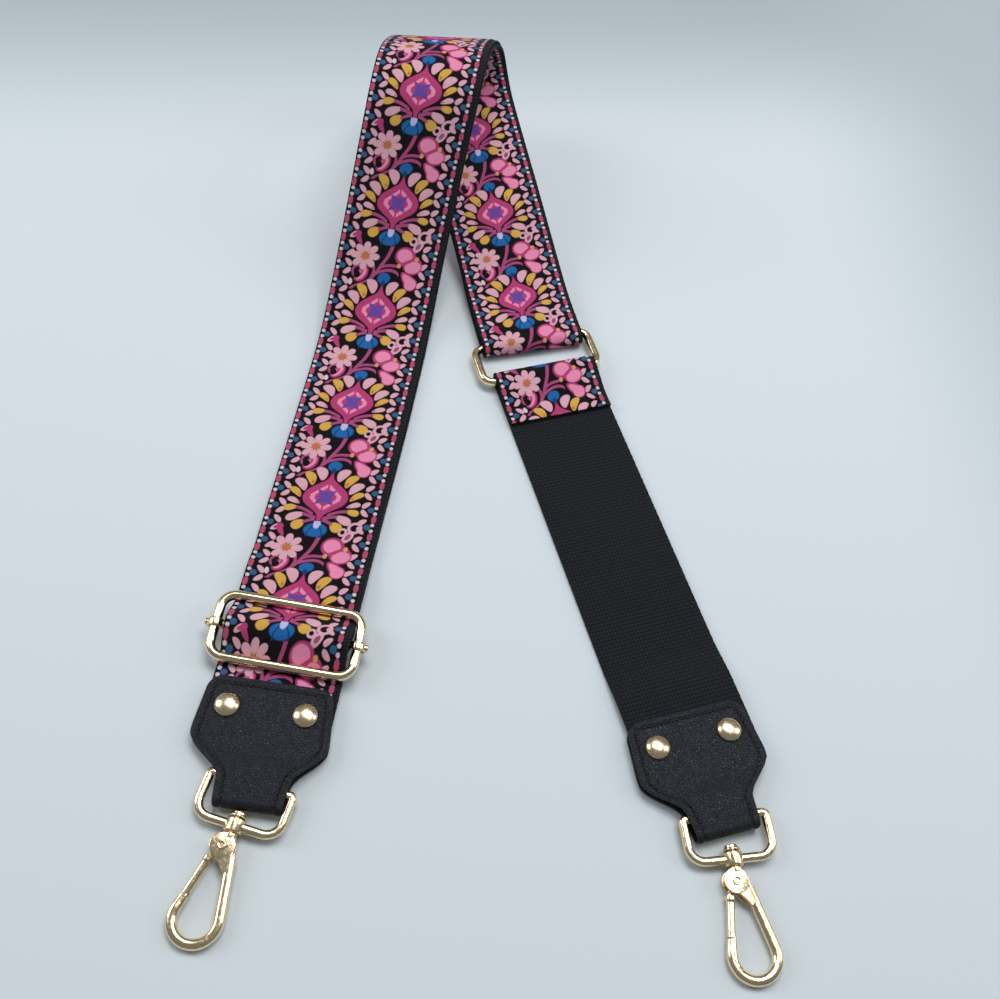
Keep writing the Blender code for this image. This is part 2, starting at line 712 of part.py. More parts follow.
    pin_place = place_empty(side + "_gate_place", place.matrix_world @ Vector((*pin, 0.0)), heading_deg, tilt,
                            parent=place)
    gate_end = line_point(*left_leg, nose[1] + seat_gap)
    gate_points = [(x - pin[0], y - pin[1], 0.0) for x, y in (gate_root, gate_end)]
    gate = as_mesh(wire(side + "_gate", gate_points, gate_rod_radius, pin_place))
    inward = (math.cos(math.radians(leg_deg)) * tongue_offset, math.sin(math.radians(leg_deg)) * tongue_offset)
    tongue_points = [(x - pin[0] + inward[0], y - pin[1] + inward[1], 0.0)
                     for x, y in (line_point(*left_leg, nose[1] + gate_rod_radius), tongue_end)]
    tongue = as_mesh(wire(side + "_tongue", tongue_points, tongue_radius, pin_place, collection=cutters))
    eye_bottom = -head_slot_height / 2.0 + seat_gap
    eye_top = eye_bottom + gate_eye_thickness
    eye = round_bar(side + "_gate_eye", gate_eye_radius, eye_bottom, eye_top, "Z", (0.0, 0.0), pin_place,
                    sides=round_sides)
    arm_length = math.hypot(*gate_points[0][:2]) + gate_rod_radius
    arm = block(side + "_gate_arm", (-gate_arm_width / 2.0, -arm_length, eye_bottom),
                (gate_arm_width / 2.0, 0.0, eye_top), pin_place, root_deg)
    for piece in (tongue, eye, arm):
        piece.hide_render = True
        piece.display_type = "WIRE"
        combine(gate, piece, "UNION")
    gate_hole = round_bar(side + "_gate_hole", gate_pin_radius + seat_gap, -head_thickness, head_thickness,
                          "Z", (0.0, 0.0), pin_place)
    combine(gate, gate_hole, "DIFFERENCE")

    seat = head_thickness / 2.0 + seat_gap
    crown = seat + gate_pin_head_thickness
    pin_profile = [(0.0, crown), (gate_pin_head_radius, crown), (gate_pin_head_radius, seat),
                   (gate_pin_radius, seat), (gate_pin_radius, -seat), (gate_pin_head_radius, -seat),
                   (gate_pin_head_radius, -crown), (0.0, -crown)]
    turned(side + "_gate_pin", pin_profile, pin_place)
    spring_low = eye_top + seat_gap
    spring_high = spring_low + gate_spring_thickness
    bore = gate_pin_radius + seat_gap
    spring = [(gate_spring_radius, spring_high), (gate_spring_radius, spring_low), (bore, spring_low),
              (bore, spring_high), (gate_spring_radius, spring_high)]
    turned(side + "_gate_spring", spring, pin_place)
    return place


def slider_place():
    """The slider's frame lies under a slope: one bar is above the single strap, one above three layers."""
    low_bar = strap_top + seat_gap + slider_wire_radius
    high_bar = strap_top + layer + seat_gap + seat_gap + slider_wire_radius
    return low_bar, high_bar


def left_end():
    """The left tab, the strap's start through the slider, and the returning layer's sewn end."""
    heading = arch_heading_deg - arch_skew_deg
    low_bar, high_bar = slider_place()
    bar_height = (low_bar + high_bar) / 2.0
    tilt = math.asin((high_bar - low_bar) / slider_height)
    half_span = slider_height / 2.0 * math.cos(tilt)
    low_station = slider_station - half_span
    high_station = slider_station + half_span
    strap = place_empty("strap_place", (arch_origin_x, arch_origin_y, 0.0), heading)
    over_bar = slider_bar_radius + seat_gap + layer
    flap_end = slider_station + slider_flap_length
    high_level = strap_top + layer + seat_gap
    front = woven_pair("front_lower", (
        (tab_top_station - strap_end_depth, strap_top, 0.0),
        (low_station, low_bar, slider_wire_radius + seat_gap),
        (slider_station, bar_height, -(over_bar + seat_gap + layer)),
        (high_station, high_bar, slider_wire_radius + seat_gap),
        (flap_end, high_level - slider_fall_radius, -slider_fall_radius),
        (flap_end + slider_fall_length, strap_top + slider_fall_radius, slider_fall_radius),
        (lower_end_station, strap_top, 0.0)), strap, 1.0, 1.0)
    rise_station = slider_station + slider_rise_offset
    loop_start = rise_station + slider_wire_radius
    woven_pair("slider_loop", (
        (loop_start, strap_bottom, 0.0),
        (rise_station, strap_bottom + slider_rise_radius, -slider_rise_radius),
        (slider_station, bar_height, -over_bar),
        (high_station, high_bar, slider_wire_radius + seat_gap + layer + seat_gap),
        (flap_end, strap_top, 0.0)), strap, 1.0, 1.0)
    woven_pair("return_lower", ((return_start_station, strap_bottom, 0.0),
                                (loop_start + seat_gap, strap_bottom, 0.0)), strap, 1.0, 1.0)

    frame = place_empty("slider_place",
                        strap.matrix_world @ Vector((slider_shift, slider_station, bar_height)), heading, tilt)
    corners = (slider_corner_radius,) * 4
    wire_loop("slider_frame", slider_width, slider_height, corners, slider_wire_radius, frame)
    bar = round_bar("slider_bar", slider_bar_radius, -slider_width / 2.0, slider_width / 2.0, "X", (0.0, 0.0),
                    frame, gold_plate, parts, round_sides)
    for name, x in (("left", -slider_width / 2.0), ("right", slider_width / 2.0)):
        eye = round_bar("slider_eye_" + name, slider_eye_radius, -slider_eye_length / 2.0,
                        slider_eye_length / 2.0, "Y", (x, 0.0), frame, sides=round_sides)
        combine(bar, eye, "UNION")
    for name, x in (("left", -slider_width / 2.0), ("right", slider_width / 2.0)):
        hole = round_bar("slider_eye_hole_" + name, slider_wire_radius + seat_gap, -slider_eye_length,
                         slider_eye_length, "Y", (x, 0.0), frame)
        combine(bar, hole, "DIFFERENCE")

    top = strap.matrix_world @ Vector((0.0, tab_top_station, 0.0))
    tab = place_empty("left_tab_place", top, left_tab_heading_deg)
    rivet_holes([leather_tab("left_tab", tab, left_tab_neck_shift)] + front, tab, "left")
    swivel_hook("left", tab, left_bail_above_fold, left_hook_heading_deg)


def right_end():
    """The ring in the strap's lower fold, the short strap, and the right tab with its hook."""
    ring_middle = arch_points(np.array(ring_station), np.array(0.0))
    run_heading = arch_heading_deg + arch_skew_deg
    loop = place_empty("ring_loop_place", (ring_middle[0], ring_middle[1], 0.0), run_heading)
    bend = ring_wire_radius + seat_gap + layer
    woven_pair("ring_loop", ((-loop_join_length + seat_gap, strap_bottom, 0.0),
                             (ring_slack, ring_bar_height, bend),
                             (-loop_join_length + seat_gap, ring_bar_height + bend, 0.0)), loop, -1.0, -1.0)
    upper_bar = (ring_middle[0], ring_middle[1], ring_bar_height)
    ring = place_empty("ring_place", upper_bar, ring_heading_deg)
    corners = (ring_corner_radius,) * 4
    wire_loop("ring", ring_width, ring_height, corners, ring_wire_radius, ring, centre_y=-ring_height / 2.0)

    lower = ring.matrix_world @ Vector((0.0, -ring_height, 0.0))
    short = place_empty("short_strap_place", (lower.x, lower.y, 0.0), ring_heading_deg)
    strap_parts = woven_pair("short", (
        (short_length + strap_end_depth, tab_strap_bottom, 0.0),
        (short_length - short_rise_end, tab_strap_bottom - short_rise_radius, short_rise_radius),
        (short_length - short_rise_start, strap_bottom + short_rise_radius, -short_rise_radius),
        (0.0, ring_bar_height, -bend),
        (short_flap_bend_place, strap_top + short_flap_bend_radius, short_flap_bend_radius),
        (short_flap_length, strap_top, 0.0)), short, -1.0, 1.0)
    top = short.matrix_world @ Vector((0.0, -short_length, 0.0))
    tab = place_empty("right_tab_place", top, right_tab_heading_deg)
    rivet_holes([leather_tab("right_tab", tab, right_tab_neck_shift)] + strap_parts, tab, "right")
    swivel_hook("right", tab, right_bail_above_fold, right_hook_heading_deg)


long_strap()
left_end()
right_end()

for made in parts.objects:
    if made.type == "MESH":
        made.data.shade_smooth()
        made.data.set_sharp_from_angle(angle=math.radians(30.0))
bpy.context.view_layer.update()
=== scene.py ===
import math

import bpy
import numpy as np
from mathutils import Matrix, Vector


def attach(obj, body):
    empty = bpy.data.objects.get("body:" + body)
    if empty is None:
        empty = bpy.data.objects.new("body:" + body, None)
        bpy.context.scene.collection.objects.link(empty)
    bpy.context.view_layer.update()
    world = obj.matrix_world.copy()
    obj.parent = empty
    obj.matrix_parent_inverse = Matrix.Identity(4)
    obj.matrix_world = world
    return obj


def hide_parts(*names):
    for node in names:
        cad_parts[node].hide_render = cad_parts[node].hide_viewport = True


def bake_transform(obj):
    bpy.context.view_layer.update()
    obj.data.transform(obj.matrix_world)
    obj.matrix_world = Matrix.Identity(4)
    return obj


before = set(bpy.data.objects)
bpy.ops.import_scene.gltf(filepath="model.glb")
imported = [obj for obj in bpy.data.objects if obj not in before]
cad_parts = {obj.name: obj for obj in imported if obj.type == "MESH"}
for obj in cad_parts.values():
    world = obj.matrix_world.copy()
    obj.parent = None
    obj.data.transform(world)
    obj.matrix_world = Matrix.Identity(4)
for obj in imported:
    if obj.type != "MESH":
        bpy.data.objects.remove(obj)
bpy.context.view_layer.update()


# The webbing: one length of black cotton tape, 50 mm wide, woven plain in thick soft yarn. It runs
# flat from the left tab, climbs into a folded arch, comes down to the ring and returns beneath
# itself to the slider. Its edges are selvedges, scalloped by the turns of the weft.
TAPE_HALF = 0.0250
TAPE_THICKNESS = 0.0015
TAPE_DEPTH = 0.0005
TAPE_SHIFT = 0.0012
LAYER = 0.0020
STACK = 0.0043
STRAP_BOTTOM = 0.0003
STRAP_TOP = STRAP_BOTTOM + STACK
RING_BAR_HEIGHT = 0.0046
PICK_PITCH = 0.00170
YARN_PITCH = 0.00140
SCALLOP = 0.00010

ARCH_ORIGIN = np.array([-0.08461, -0.07861])
ARCH_HEADING_DEG, ARCH_SKEW_DEG = 10.587, 11.319
ARCH_HEADING, ARCH_SKEW = math.radians(ARCH_HEADING_DEG), math.radians(ARCH_SKEW_DEG)
ARCH_LEGS = ((0.1160, 0.0), (0.0480, 39.0), (0.0741, 59.2), (0.0414, -22.4),
             (0.0481, -40.3), (0.0402, -167.8), (0.1170, -172.0), (0.0120, -180.0))
ARCH_SOFTNESS = 0.0051
ARCH_STEP = 0.0005
ARCH_MARGIN = 0.1660
RING_STATION = 0.5262
LOOP_JOIN = 0.0090
JOIN_STATION = RING_STATION - LOOP_JOIN
RUN_DIP = 0.0460
RETURN_SHIFT = 0.0014
UNDER_SHIFT = 0.0009
ARCH_STEP_SHOWN = 0.0008


def smooth_share(values, start, end):
    """0 before start, 1 after end, and 3t^2 - 2t^3 between them."""
    share = np.clip((np.asarray(values) - start) / (end - start), 0.0, 1.0)
    return share * share * (3.0 - 2.0 * share)


def arch_profile():
    """Side view of the arch: slopes run straight from leg to leg, are softened by a bell-shaped
    average, and are summed up into forward places and heights."""
    lengths, slopes = zip(*ARCH_LEGS)
    knots = np.cumsum(lengths)
    ring_place = RING_STATION * math.cos(ARCH_SKEW)
    place = np.arange(-ARCH_MARGIN, ring_place + ARCH_MARGIN, ARCH_STEP)
    slope = np.interp(place, knots, np.radians(slopes))
    reach = int(round(4.0 * ARCH_SOFTNESS / ARCH_STEP))
    bell = np.exp(-0.5 * (np.arange(-reach, reach + 1) * ARCH_STEP / ARCH_SOFTNESS) ** 2)
    slope = np.convolve(np.pad(slope, reach, mode="edge"), bell / bell.sum(), mode="valid")
    middle = (slope[1:] + slope[:-1]) / 2.0
    forward = np.concatenate([[0.0], np.cumsum(np.cos(middle)) * ARCH_STEP])
    height = np.concatenate([[0.0], np.cumsum(np.sin(middle)) * ARCH_STEP])
    forward -= np.interp(0.0, place, forward)
    missing = RING_BAR_HEIGHT - np.interp(ring_place, place, height) - STRAP_TOP
    height += STRAP_TOP + missing * smooth_share(place, ARCH_LEGS[0][0], ring_place - 2.0 * TAPE_HALF)
    return place, forward, height, np.unwrap(np.arctan2(np.gradient(height), np.gradient(forward)))


ARCH_PLACE, ARCH_FORWARD, ARCH_HEIGHT, ARCH_ANGLE = arch_profile()


def arch_point(station, across, depth, shift=0.0):
    """Point of the strap on the arch. The arch is a cylinder of the profile's section, the strap
    lies on it askew, and depth counts inward from the front ribbon's face."""
    sideways = station * math.sin(ARCH_SKEW) + across * math.cos(ARCH_SKEW) + shift
    place = station * math.cos(ARCH_SKEW) - across * math.sin(ARCH_SKEW)
    angle = np.interp(place, ARCH_PLACE, ARCH_ANGLE)
    forward = np.interp(place, ARCH_PLACE, ARCH_FORWARD) + depth * np.sin(angle)
    height = np.interp(place, ARCH_PLACE, ARCH_HEIGHT) - depth * np.cos(angle)
    side = np.array([math.cos(ARCH_HEADING), math.sin(ARCH_HEADING)])
    ahead = np.array([-side[1], side[0]])
    x = ARCH_ORIGIN[0] + sideways * side[0] + forward * ahead[0]
    y = ARCH_ORIGIN[1] + sideways * side[1] + forward * ahead[1]
    return np.stack(np.broadcast_arrays(x, y, height), axis=-1)


def front_on_arch(station, across, depth):
    """The front layer, which dips under the ring's bar at the end of its run."""
    point = arch_point(station, across, depth)
    point[..., 2] -= STACK * smooth_share(station, JOIN_STATION - RUN_DIP, JOIN_STATION)
    return point


def return_on_arch(station, across, depth):
    """The returning layer: its ribbon faces the other way, a whole stack further in. It lies a
    little to one side, and comes back over the front layer toward the ring."""
    aside = RETURN_SHIFT * (1.0 - smooth_share(station, JOIN_STATION - 2.0 * RUN_DIP, JOIN_STATION))
    return arch_point(station, across, STACK - depth, aside)


def spot_on(station):
    """A point of the strap's middle line, by its station."""
    return tuple(arch_point(np.array(station), np.array(0.0), np.array(0.0)))


def stand(position, heading_deg=0.0, tilt=0.0):
    """A piece's own frame: turned about Z by the heading, then tipped about its own X."""
    return (Matrix.Translation(Vector(position)) @ Matrix.Rotation(math.radians(heading_deg), 4, "Z")
            @ Matrix.Rotation(tilt, 4, "X"))


def placed(points, matrix):
    """Points of a piece's own frame, in the part's frame."""
    turn = np.array(matrix)
    return np.asarray(points) @ turn[:3, :3].T + turn[:3, 3]


HAIR = 1e-6


def taut_course(circles, spacing=0.0004, turn_step=4.0):
    """Along places, heights, left-hand normals and run lengths of a path pulled taut round circles
    (along, height, radius), a positive radius having its centre on the left."""
    headings = []
    for (x0, z0, r0), (x1, z1, r1) in zip(circles, circles[1:]):
        apart = math.hypot(x1 - x0, z1 - z0)
        headings.append(math.atan2(z1 - z0, x1 - x0) - math.asin((r1 - r0) / apart))
    knots = []
    for index, (x, z, radius) in enumerate(circles):
        before = headings[max(index - 1, 0)]
        turn = headings[min(index, len(headings) - 1)] - before
        if radius > 0.0:
            turn = (turn + HAIR) % (2.0 * math.pi) - HAIR
        elif radius < 0.0:
            turn = -((HAIR - turn) % (2.0 * math.pi) - HAIR)
        steps = max(1, math.ceil(abs(turn) / math.radians(turn_step))) if radius else 0
        for k in range(steps + 1):
            heading = before + (turn * k / steps if steps else 0.0)
            knots.append((x + radius * math.sin(heading), z - radius * math.cos(heading),
                          -math.sin(heading), math.cos(heading)))
    knots = np.array(knots)
    length = np.concatenate([[0.0], np.cumsum(np.hypot(*np.diff(knots[:, :2], axis=0).T))])
    keep = np.concatenate([[True], np.diff(length) > 1e-9])
    knots, length = knots[keep], length[keep]
    run = np.linspace(0.0, length[-1], max(2, math.ceil(length[-1] / spacing)) + 1)
    course = np.stack([np.interp(run, length, knots[:, k]) for k in range(4)], axis=-1)
    course[:, 2:] /= np.linalg.norm(course[:, 2:], axis=1, keepdims=True)
    return course, run


def tape_section(half, top, thickness, columns=14, edge_steps=5, shift=0.0):
    """Closed section of a tape: two flat faces joined by half round edges. Across places, depths."""
    radius = thickness / 2.0
    flat = np.linspace(-half + radius, half - radius, columns + 1)
    turn = np.linspace(0.0, math.pi, edge_steps + 2)[1:-1]
    across = np.concatenate([flat, flat[-1] + radius * np.sin(turn),
                             flat[::-1], flat[0] - radius * np.sin(turn)])
    depth = np.concatenate([np.zeros(columns + 1), radius - radius * np.cos(turn),
                            np.full(columns + 1, thickness), radius + radius * np.cos(turn)])
    return across + shift, depth + top


def linked(name, data):
    """A new object in the scene."""
    made = bpy.data.objects.new(name, data)
    bpy.context.scene.collection.objects.link(made)
    return made


def inside_out(flat, quads):
    """Whether the faces point inwards: the volume that they close is negative."""
    corner = [flat[quads[:, k]] - flat.mean(0) for k in range(4)]
    both = np.cross(corner[1], corner[2]) + np.cross(corner[2], corner[3])
    return np.einsum("ij,ij->", corner[0], both) < 0.0


def surface(name, grids, uvs=None, sharp_deg=40.0, extra=None):
    """One mesh from grids of points whose second direction closes on itself. Each end is closed by
    one face, and a grid whose faces would point inwards is turned round."""
    points, faces, coords, values, start = [], [], [], [], 0
    for index, grid in enumerate(grids):
        rows, columns = grid.shape[:2]
        number = np.arange(rows * columns).reshape(rows, columns)
        nearer, further = number[:-1], number[1:]
        quads = np.stack([nearer, np.roll(nearer, -1, 1), np.roll(further, -1, 1), further], -1)
        quads = quads.reshape(-1, 4)
        flat = grid.reshape(-1, 3)
        caps = [number[0][::-1], number[-1]]
        if inside_out(flat, quads):
            quads = quads[:, ::-1]
            caps = [cap[::-1] for cap in caps]
        faces += (quads + start).tolist() + [(cap + start).tolist() for cap in caps]
        points.append(flat)
        coords.append(uvs[index].reshape(-1, 2) if uvs else np.zeros((rows * columns, 2)))
        values.append(extra[index].reshape(-1) if extra else np.zeros(rows * columns))
        start += rows * columns
    mesh = bpy.data.meshes.new(name)
    mesh.from_pydata(np.concatenate(points).tolist(), [], faces)
    corner_of = np.empty(len(mesh.loops), np.int32)
    mesh.loops.foreach_get("vertex_index", corner_of)
    layer = mesh.uv_layers.new(name="UVMap")
    layer.uv.foreach_set("vector", np.concatenate(coords)[corner_of].astype(np.float32).ravel())
    if extra:
        mesh.attributes.new("edge", "FLOAT", "POINT").data.foreach_set(
            "value", np.concatenate(values).astype(np.float32))
    mesh.shade_smooth()
    mesh.set_sharp_from_angle(angle=math.radians(sharp_deg))
    return linked(name, mesh)


def strip(name, place, stations, section, material, print_start, print_way):
    """One stretch of tape: its section carried along the stations by place(station, across, depth).
    Its UV map is its own flat length and width in metres, for the weave and the print."""
    across, depth = section
    grid = place(stations[:, None], across[None, :], depth[None, :])
    along = print_start + print_way * stations
    uv = np.stack(np.broadcast_arrays(across[None, :], along[:, None]), axis=-1)
    made = surface(name, [grid], [uv])
    made.data.materials.append(material)
    return made


class Value:
    """A socket of a material. Arithmetic on it adds the Math nodes."""

    def __init__(self, shade, socket):
        self.shade, self.socket = shade, socket

    def math(self, operation, *others):
        return self.shade.node("ShaderNodeMath", {"operation": operation},
                               dict(enumerate((self,) + others)))

    def __add__(self, other):
        return self.math("ADD", other)

    def __sub__(self, other):
        return self.math("SUBTRACT", other)

    def __mul__(self, other):
        return self.math("MULTIPLY", other)

    def __truediv__(self, other):
        return self.math("DIVIDE", other)

    def __rsub__(self, other):
        return self.shade.node("ShaderNodeMath", {"operation": "SUBTRACT"}, {0: other, 1: self})


class Shade:
    """One material: a Principled surface, and the nodes that feed it."""

    def __init__(self, name, **fixed):
        self.material = bpy.data.materials.new(name)
        self.material.use_nodes = True
        self.tree = self.material.node_tree
        self.surface = self.tree.nodes["Principled BSDF"]
        for socket, value in fixed.items():
            self.surface.inputs[socket.replace("_", " ")].default_value = value

    def node(self, kind, settings, inputs, output=0):
        """Any node: its settings first, then the values or links of its sockets."""
        made = self.tree.nodes.new(kind)
        for key, value in settings.items():
            if key == "stops":
                ramp = made.color_ramp.elements
                while len(ramp) < len(value):
                    ramp.new(0.5)
                for element, (place, colour) in zip(ramp, value):
                    element.position, element.color = place, (*colour, 1.0)
            elif key == "curve":
                line = made.mapping.curves[0]
                while len(line.points) < len(value):
                    line.points.new(0.5, 0.5)
                for point, place in zip(line.points, value):
                    point.location = place
                made.mapping.update()
            else:
                setattr(made, key, value)
        for key, value in inputs.items():
            if isinstance(value, Value):
                self.tree.links.new(value.socket, made.inputs[key])
            else:
                made.inputs[key].default_value = value
        return Value(self, made.outputs[output])

    def mix(self, factor, a, b, blend="MIX"):
        """Two colours mixed by a factor."""
        a, b = [(*c, 1.0) if isinstance(c, tuple) and len(c) == 3 else c for c in (a, b)]
        kind = {"data_type": "RGBA", "blend_type": blend, "clamp_factor": True}
        return self.node("ShaderNodeMix", kind, {0: factor, 6: a, 7: b}, 2)

    def step(self, value, low, high, first=0.0, last=1.0, kind="SMOOTHSTEP"):
        """A smooth step from first, at low, to last, at high."""
        return self.node("ShaderNodeMapRange", {"interpolation_type": kind},
                         {0: value, 1: low, 2: high, 3: first, 4: last})

    def noise(self, where, scale, detail=2.0, output=0):
        return self.node("ShaderNodeTexNoise", {}, {"Vector": where, "Scale": scale, "Detail": detail},
                         output)

    def mapped(self, where, place=(0.0, 0.0, 0.0), turn=0.0, size=(1.0, 1.0, 1.0)):
        """Coordinates seen from a place, turned about Z and measured in sizes."""
        return self.node("ShaderNodeMapping", {"vector_type": "TEXTURE"},
                         {"Vector": where, "Location": place, "Rotation": (0.0, 0.0, turn),
                          "Scale": size})

    def parts(self, vector):
        """The x and the y of a vector."""
        split = self.node("ShaderNodeSeparateXYZ", {}, {0: vector})
        return split, Value(self, split.socket.node.outputs[1])

    def feed(self, **links):
        for socket, value in links.items():
            self.tree.links.new(value.socket, self.surface.inputs[socket.replace("_", " ")])

    def bump(self, height, distance, strength=1.0):
        """Feeds the normal from a height of 0 to 1 that stands for a distance in metres."""
        self.feed(Normal=self.node("ShaderNodeBump", {}, {"Height": height, "Distance": distance,
                                                          "Strength": strength}))

    def uv(self):
        return self.node("ShaderNodeUVMap", {"uv_map": "UVMap"}, {})

    def here(self):
        return self.node("ShaderNodeTexCoord", {}, {}, 3)


def srgb(red, green, blue):
    """Linear colour of a screen colour in 0 to 255."""
    return tuple(((c / 255.0 + 0.055) / 1.055) ** 2.4 if c > 10.0 else c / 3294.6
                 for c in (red, green, blue))


MM = (0.001, 0.001, 0.001)


def cotton_webbing(name):
    """Plain weave: cells of yarn, warp up and weft up in turn, each a rounded bump that is long
    along its yarn, with painted shade darkening the pits at the corners, and some yarns paler than
    others."""
    shade = Shade(name, Roughness=0.88, Specular_IOR_Level=0.18, Sheen_Weight=0.04, Sheen_Roughness=0.5)
    flat = shade.mapped(shade.uv(), size=MM)
    warp_at, weft_at = shade.parts(
        shade.mapped(flat, size=(YARN_PITCH / MM[0], PICK_PITCH / MM[1], 1.0)))
    ragged = shade.noise(flat, 0.55, 2.0)
    warp_wave = (warp_at * math.pi + ragged * 0.5).math("SINE")
    weft_wave = (weft_at * math.pi + ragged * 0.6).math("SINE")
    warp_up = shade.step(warp_wave * weft_wave, -0.12, 0.12)
    across = warp_wave.math("ABSOLUTE")
    along = weft_wave.math("ABSOLUTE")
    warp_bump = across.math("POWER", 0.75) * along.math("POWER", 0.45)
    weft_bump = across.math("POWER", 0.45) * along.math("POWER", 0.75)
    height = shade.mix(warp_up, weft_bump * 0.80, warp_bump)
    fuzz = shade.noise(flat, 9.0, 3.0)
    # painted shade: the colour goes near black where the weave's height is low, in the pits between the
    # yarns
    painted_pit_shade = shade.step(height, 0.05, 0.75)
    colour = shade.mix(painted_pit_shade, srgb(5, 6, 8), srgb(33, 36, 43))
    colour = shade.mix(warp_up * 0.25, colour, srgb(40, 43, 51))
    colour = shade.mix(fuzz * 0.35, colour, srgb(16, 17, 21))
    shade.feed(Base_Color=colour)
    shade.bump(height + fuzz * 0.25, 0.00045, 1.0)
    return shade.material


WEBBING = cotton_webbing("black_cotton_webbing")
TAPE = tape_section(TAPE_HALF, TAPE_DEPTH, TAPE_THICKNESS, shift=TAPE_SHIFT)
UNDER_TAPE = tape_section(TAPE_HALF, TAPE_DEPTH, TAPE_THICKNESS, shift=UNDER_SHIFT)


def scalloped(place):
    """The same place with the tape's edges drawn in a little between the turns of the weft."""
    def waved(station, across, depth):
        edge = np.clip((np.abs(across) - 0.8 * TAPE_HALF) / (0.2 * TAPE_HALF), 0.0, 1.0)
        wave = 0.5 - 0.5 * np.cos(2.0 * math.pi * station / (2.0 * PICK_PITCH))
        return place(station, across - np.sign(across) * SCALLOP * edge * wave, depth)
    return waved


# Where the strap's shown stretches part: each is cut square across where its neighbour goes on
LOWER_END = 0.1100
RUN_START = 0.3500
RETURN_START = 0.1000
RETURN_RUN_START = 0.3500
SLIDER_STATION = -0.0275
SLIDER_SIZE = (0.0574, 0.0265)
SLIDER_BAR_HEIGHT = 0.00805
SLIDER_LOW_BAR = 0.0069
SLIDER_HIGH_BAR = 0.0092
SLIDER_TILT = math.asin((SLIDER_HIGH_BAR - SLIDER_LOW_BAR) / SLIDER_SIZE[1])
SLIDER_HALF_SPAN = SLIDER_SIZE[1] / 2.0 * math.cos(SLIDER_TILT)
SLIDER_BAR_RADIUS = 0.0015
TAB_TOP_STATION = -0.0470
STRAP_END_DEPTH = 0.0260
FLAP_END = SLIDER_STATION + 0.0275
FALL_LENGTH, FALL_RADIUS = 0.0140, 0.0200
RISE_LENGTH, RISE_RADIUS = 0.0105, 0.0080
WIRE = 0.0020
GAP = 0.0003
STRAP_HEADING_DEG = ARCH_HEADING_DEG - ARCH_SKEW_DEG
STRAP_FRAME = stand((*ARCH_ORIGIN, 0.0), STRAP_HEADING_DEG)
RISE_STATION = SLIDER_STATION + RISE_LENGTH
LOOP_START = RISE_STATION + WIRE

over_bar = SLIDER_BAR_RADIUS + GAP + LAYER
front_low_course, front_low_run = taut_course((
    (TAB_TOP_STATION - STRAP_END_DEPTH, STRAP_TOP, 0.0),
    (SLIDER_STATION - SLIDER_HALF_SPAN, SLIDER_LOW_BAR, WIRE + GAP),
    (SLIDER_STATION, SLIDER_BAR_HEIGHT, -(over_bar + GAP + LAYER)),
    (SLIDER_STATION + SLIDER_HALF_SPAN, SLIDER_HIGH_BAR, WIRE + GAP),
    (FLAP_END, STRAP_TOP + LAYER + GAP - FALL_RADIUS, -FALL_RADIUS),
    (FLAP_END + FALL_LENGTH, STRAP_TOP + FALL_RADIUS, FALL_RADIUS),
    (LOWER_END, STRAP_TOP, 0.0)))
slider_loop_course, slider_loop_run = taut_course((
    (LOOP_START, STRAP_BOTTOM, 0.0),
    (RISE_STATION, STRAP_BOTTOM + RISE_RADIUS, -RISE_RADIUS),
    (SLIDER_STATION, SLIDER_BAR_HEIGHT, -over_bar),
    (SLIDER_STATION + SLIDER_HALF_SPAN, SLIDER_HIGH_BAR, WIRE + GAP + LAYER + GAP),
    (FLAP_END, STRAP_TOP, 0.0)))


def on_course(course, run, frame_matrix, direction, outward):
    """A place function on a taut course. direction is +1 where it runs along local +Y. outward is
    +1 where the ribbon is on the course's left."""
    def place(station, across, depth):
        along, height, side, up = [np.interp(station, run, course[:, k]) for k in range(4)]
        y = direction * (along - outward * depth * side)
        z = height - outward * depth * up
        local = np.stack(np.broadcast_arrays(across, y, z), axis=-1)
        return placed(local, frame_matrix)
    return place


def spaced(start, end, step):
    """Evenly spaced stations from start to end."""
    return np.linspace(start, end, max(2, int(math.ceil(abs(end - start) / step))) + 1)


RING_MIDDLE = spot_on(RING_STATION)[:2]
RING_LOOP_FRAME = stand((*RING_MIDDLE, 0.0), ARCH_HEADING_DEG + ARCH_SKEW_DEG)
RING_HEADING_DEG = 24.8
RING_FRAME = stand((*RING_MIDDLE, RING_BAR_HEIGHT), RING_HEADING_DEG)
RING_DROP = 0.0210
RING_LOOP_REACH = 0.0015
SHORT_FRAME = stand((*(RING_FRAME @ Vector((0.0, -RING_DROP, 0.0))).xy, 0.0), RING_HEADING_DEG)
SHORT_LENGTH = 0.1775
SHORT_RISE_START, SHORT_RISE_END, SHORT_RISE_RADIUS = 0.0290, 0.0070, 0.0450
SHORT_FALL, SHORT_FALL_RADIUS, SHORT_FLAP = 0.0180, 0.0150, 0.0250
TAB_STRAP_BOTTOM = 0.0026
bend = WIRE + GAP + LAYER
ring_loop_course, ring_loop_run = taut_course((
    (-LOOP_JOIN, STRAP_BOTTOM, 0.0), (RING_LOOP_REACH, RING_BAR_HEIGHT, bend),
    (-LOOP_JOIN, RING_BAR_HEIGHT + bend, 0.0)))
short_course, short_run = taut_course((
    (SHORT_LENGTH + STRAP_END_DEPTH, TAB_STRAP_BOTTOM, 0.0),
    (SHORT_LENGTH - SHORT_RISE_END, TAB_STRAP_BOTTOM - SHORT_RISE_RADIUS, SHORT_RISE_RADIUS),
    (SHORT_LENGTH - SHORT_RISE_START, STRAP_BOTTOM + SHORT_RISE_RADIUS, -SHORT_RISE_RADIUS),
    (0.0, RING_BAR_HEIGHT, -bend),
    (SHORT_FALL, STRAP_TOP + SHORT_FALL_RADIUS, SHORT_FALL_RADIUS),
    (SHORT_FLAP, STRAP_TOP, 0.0)))

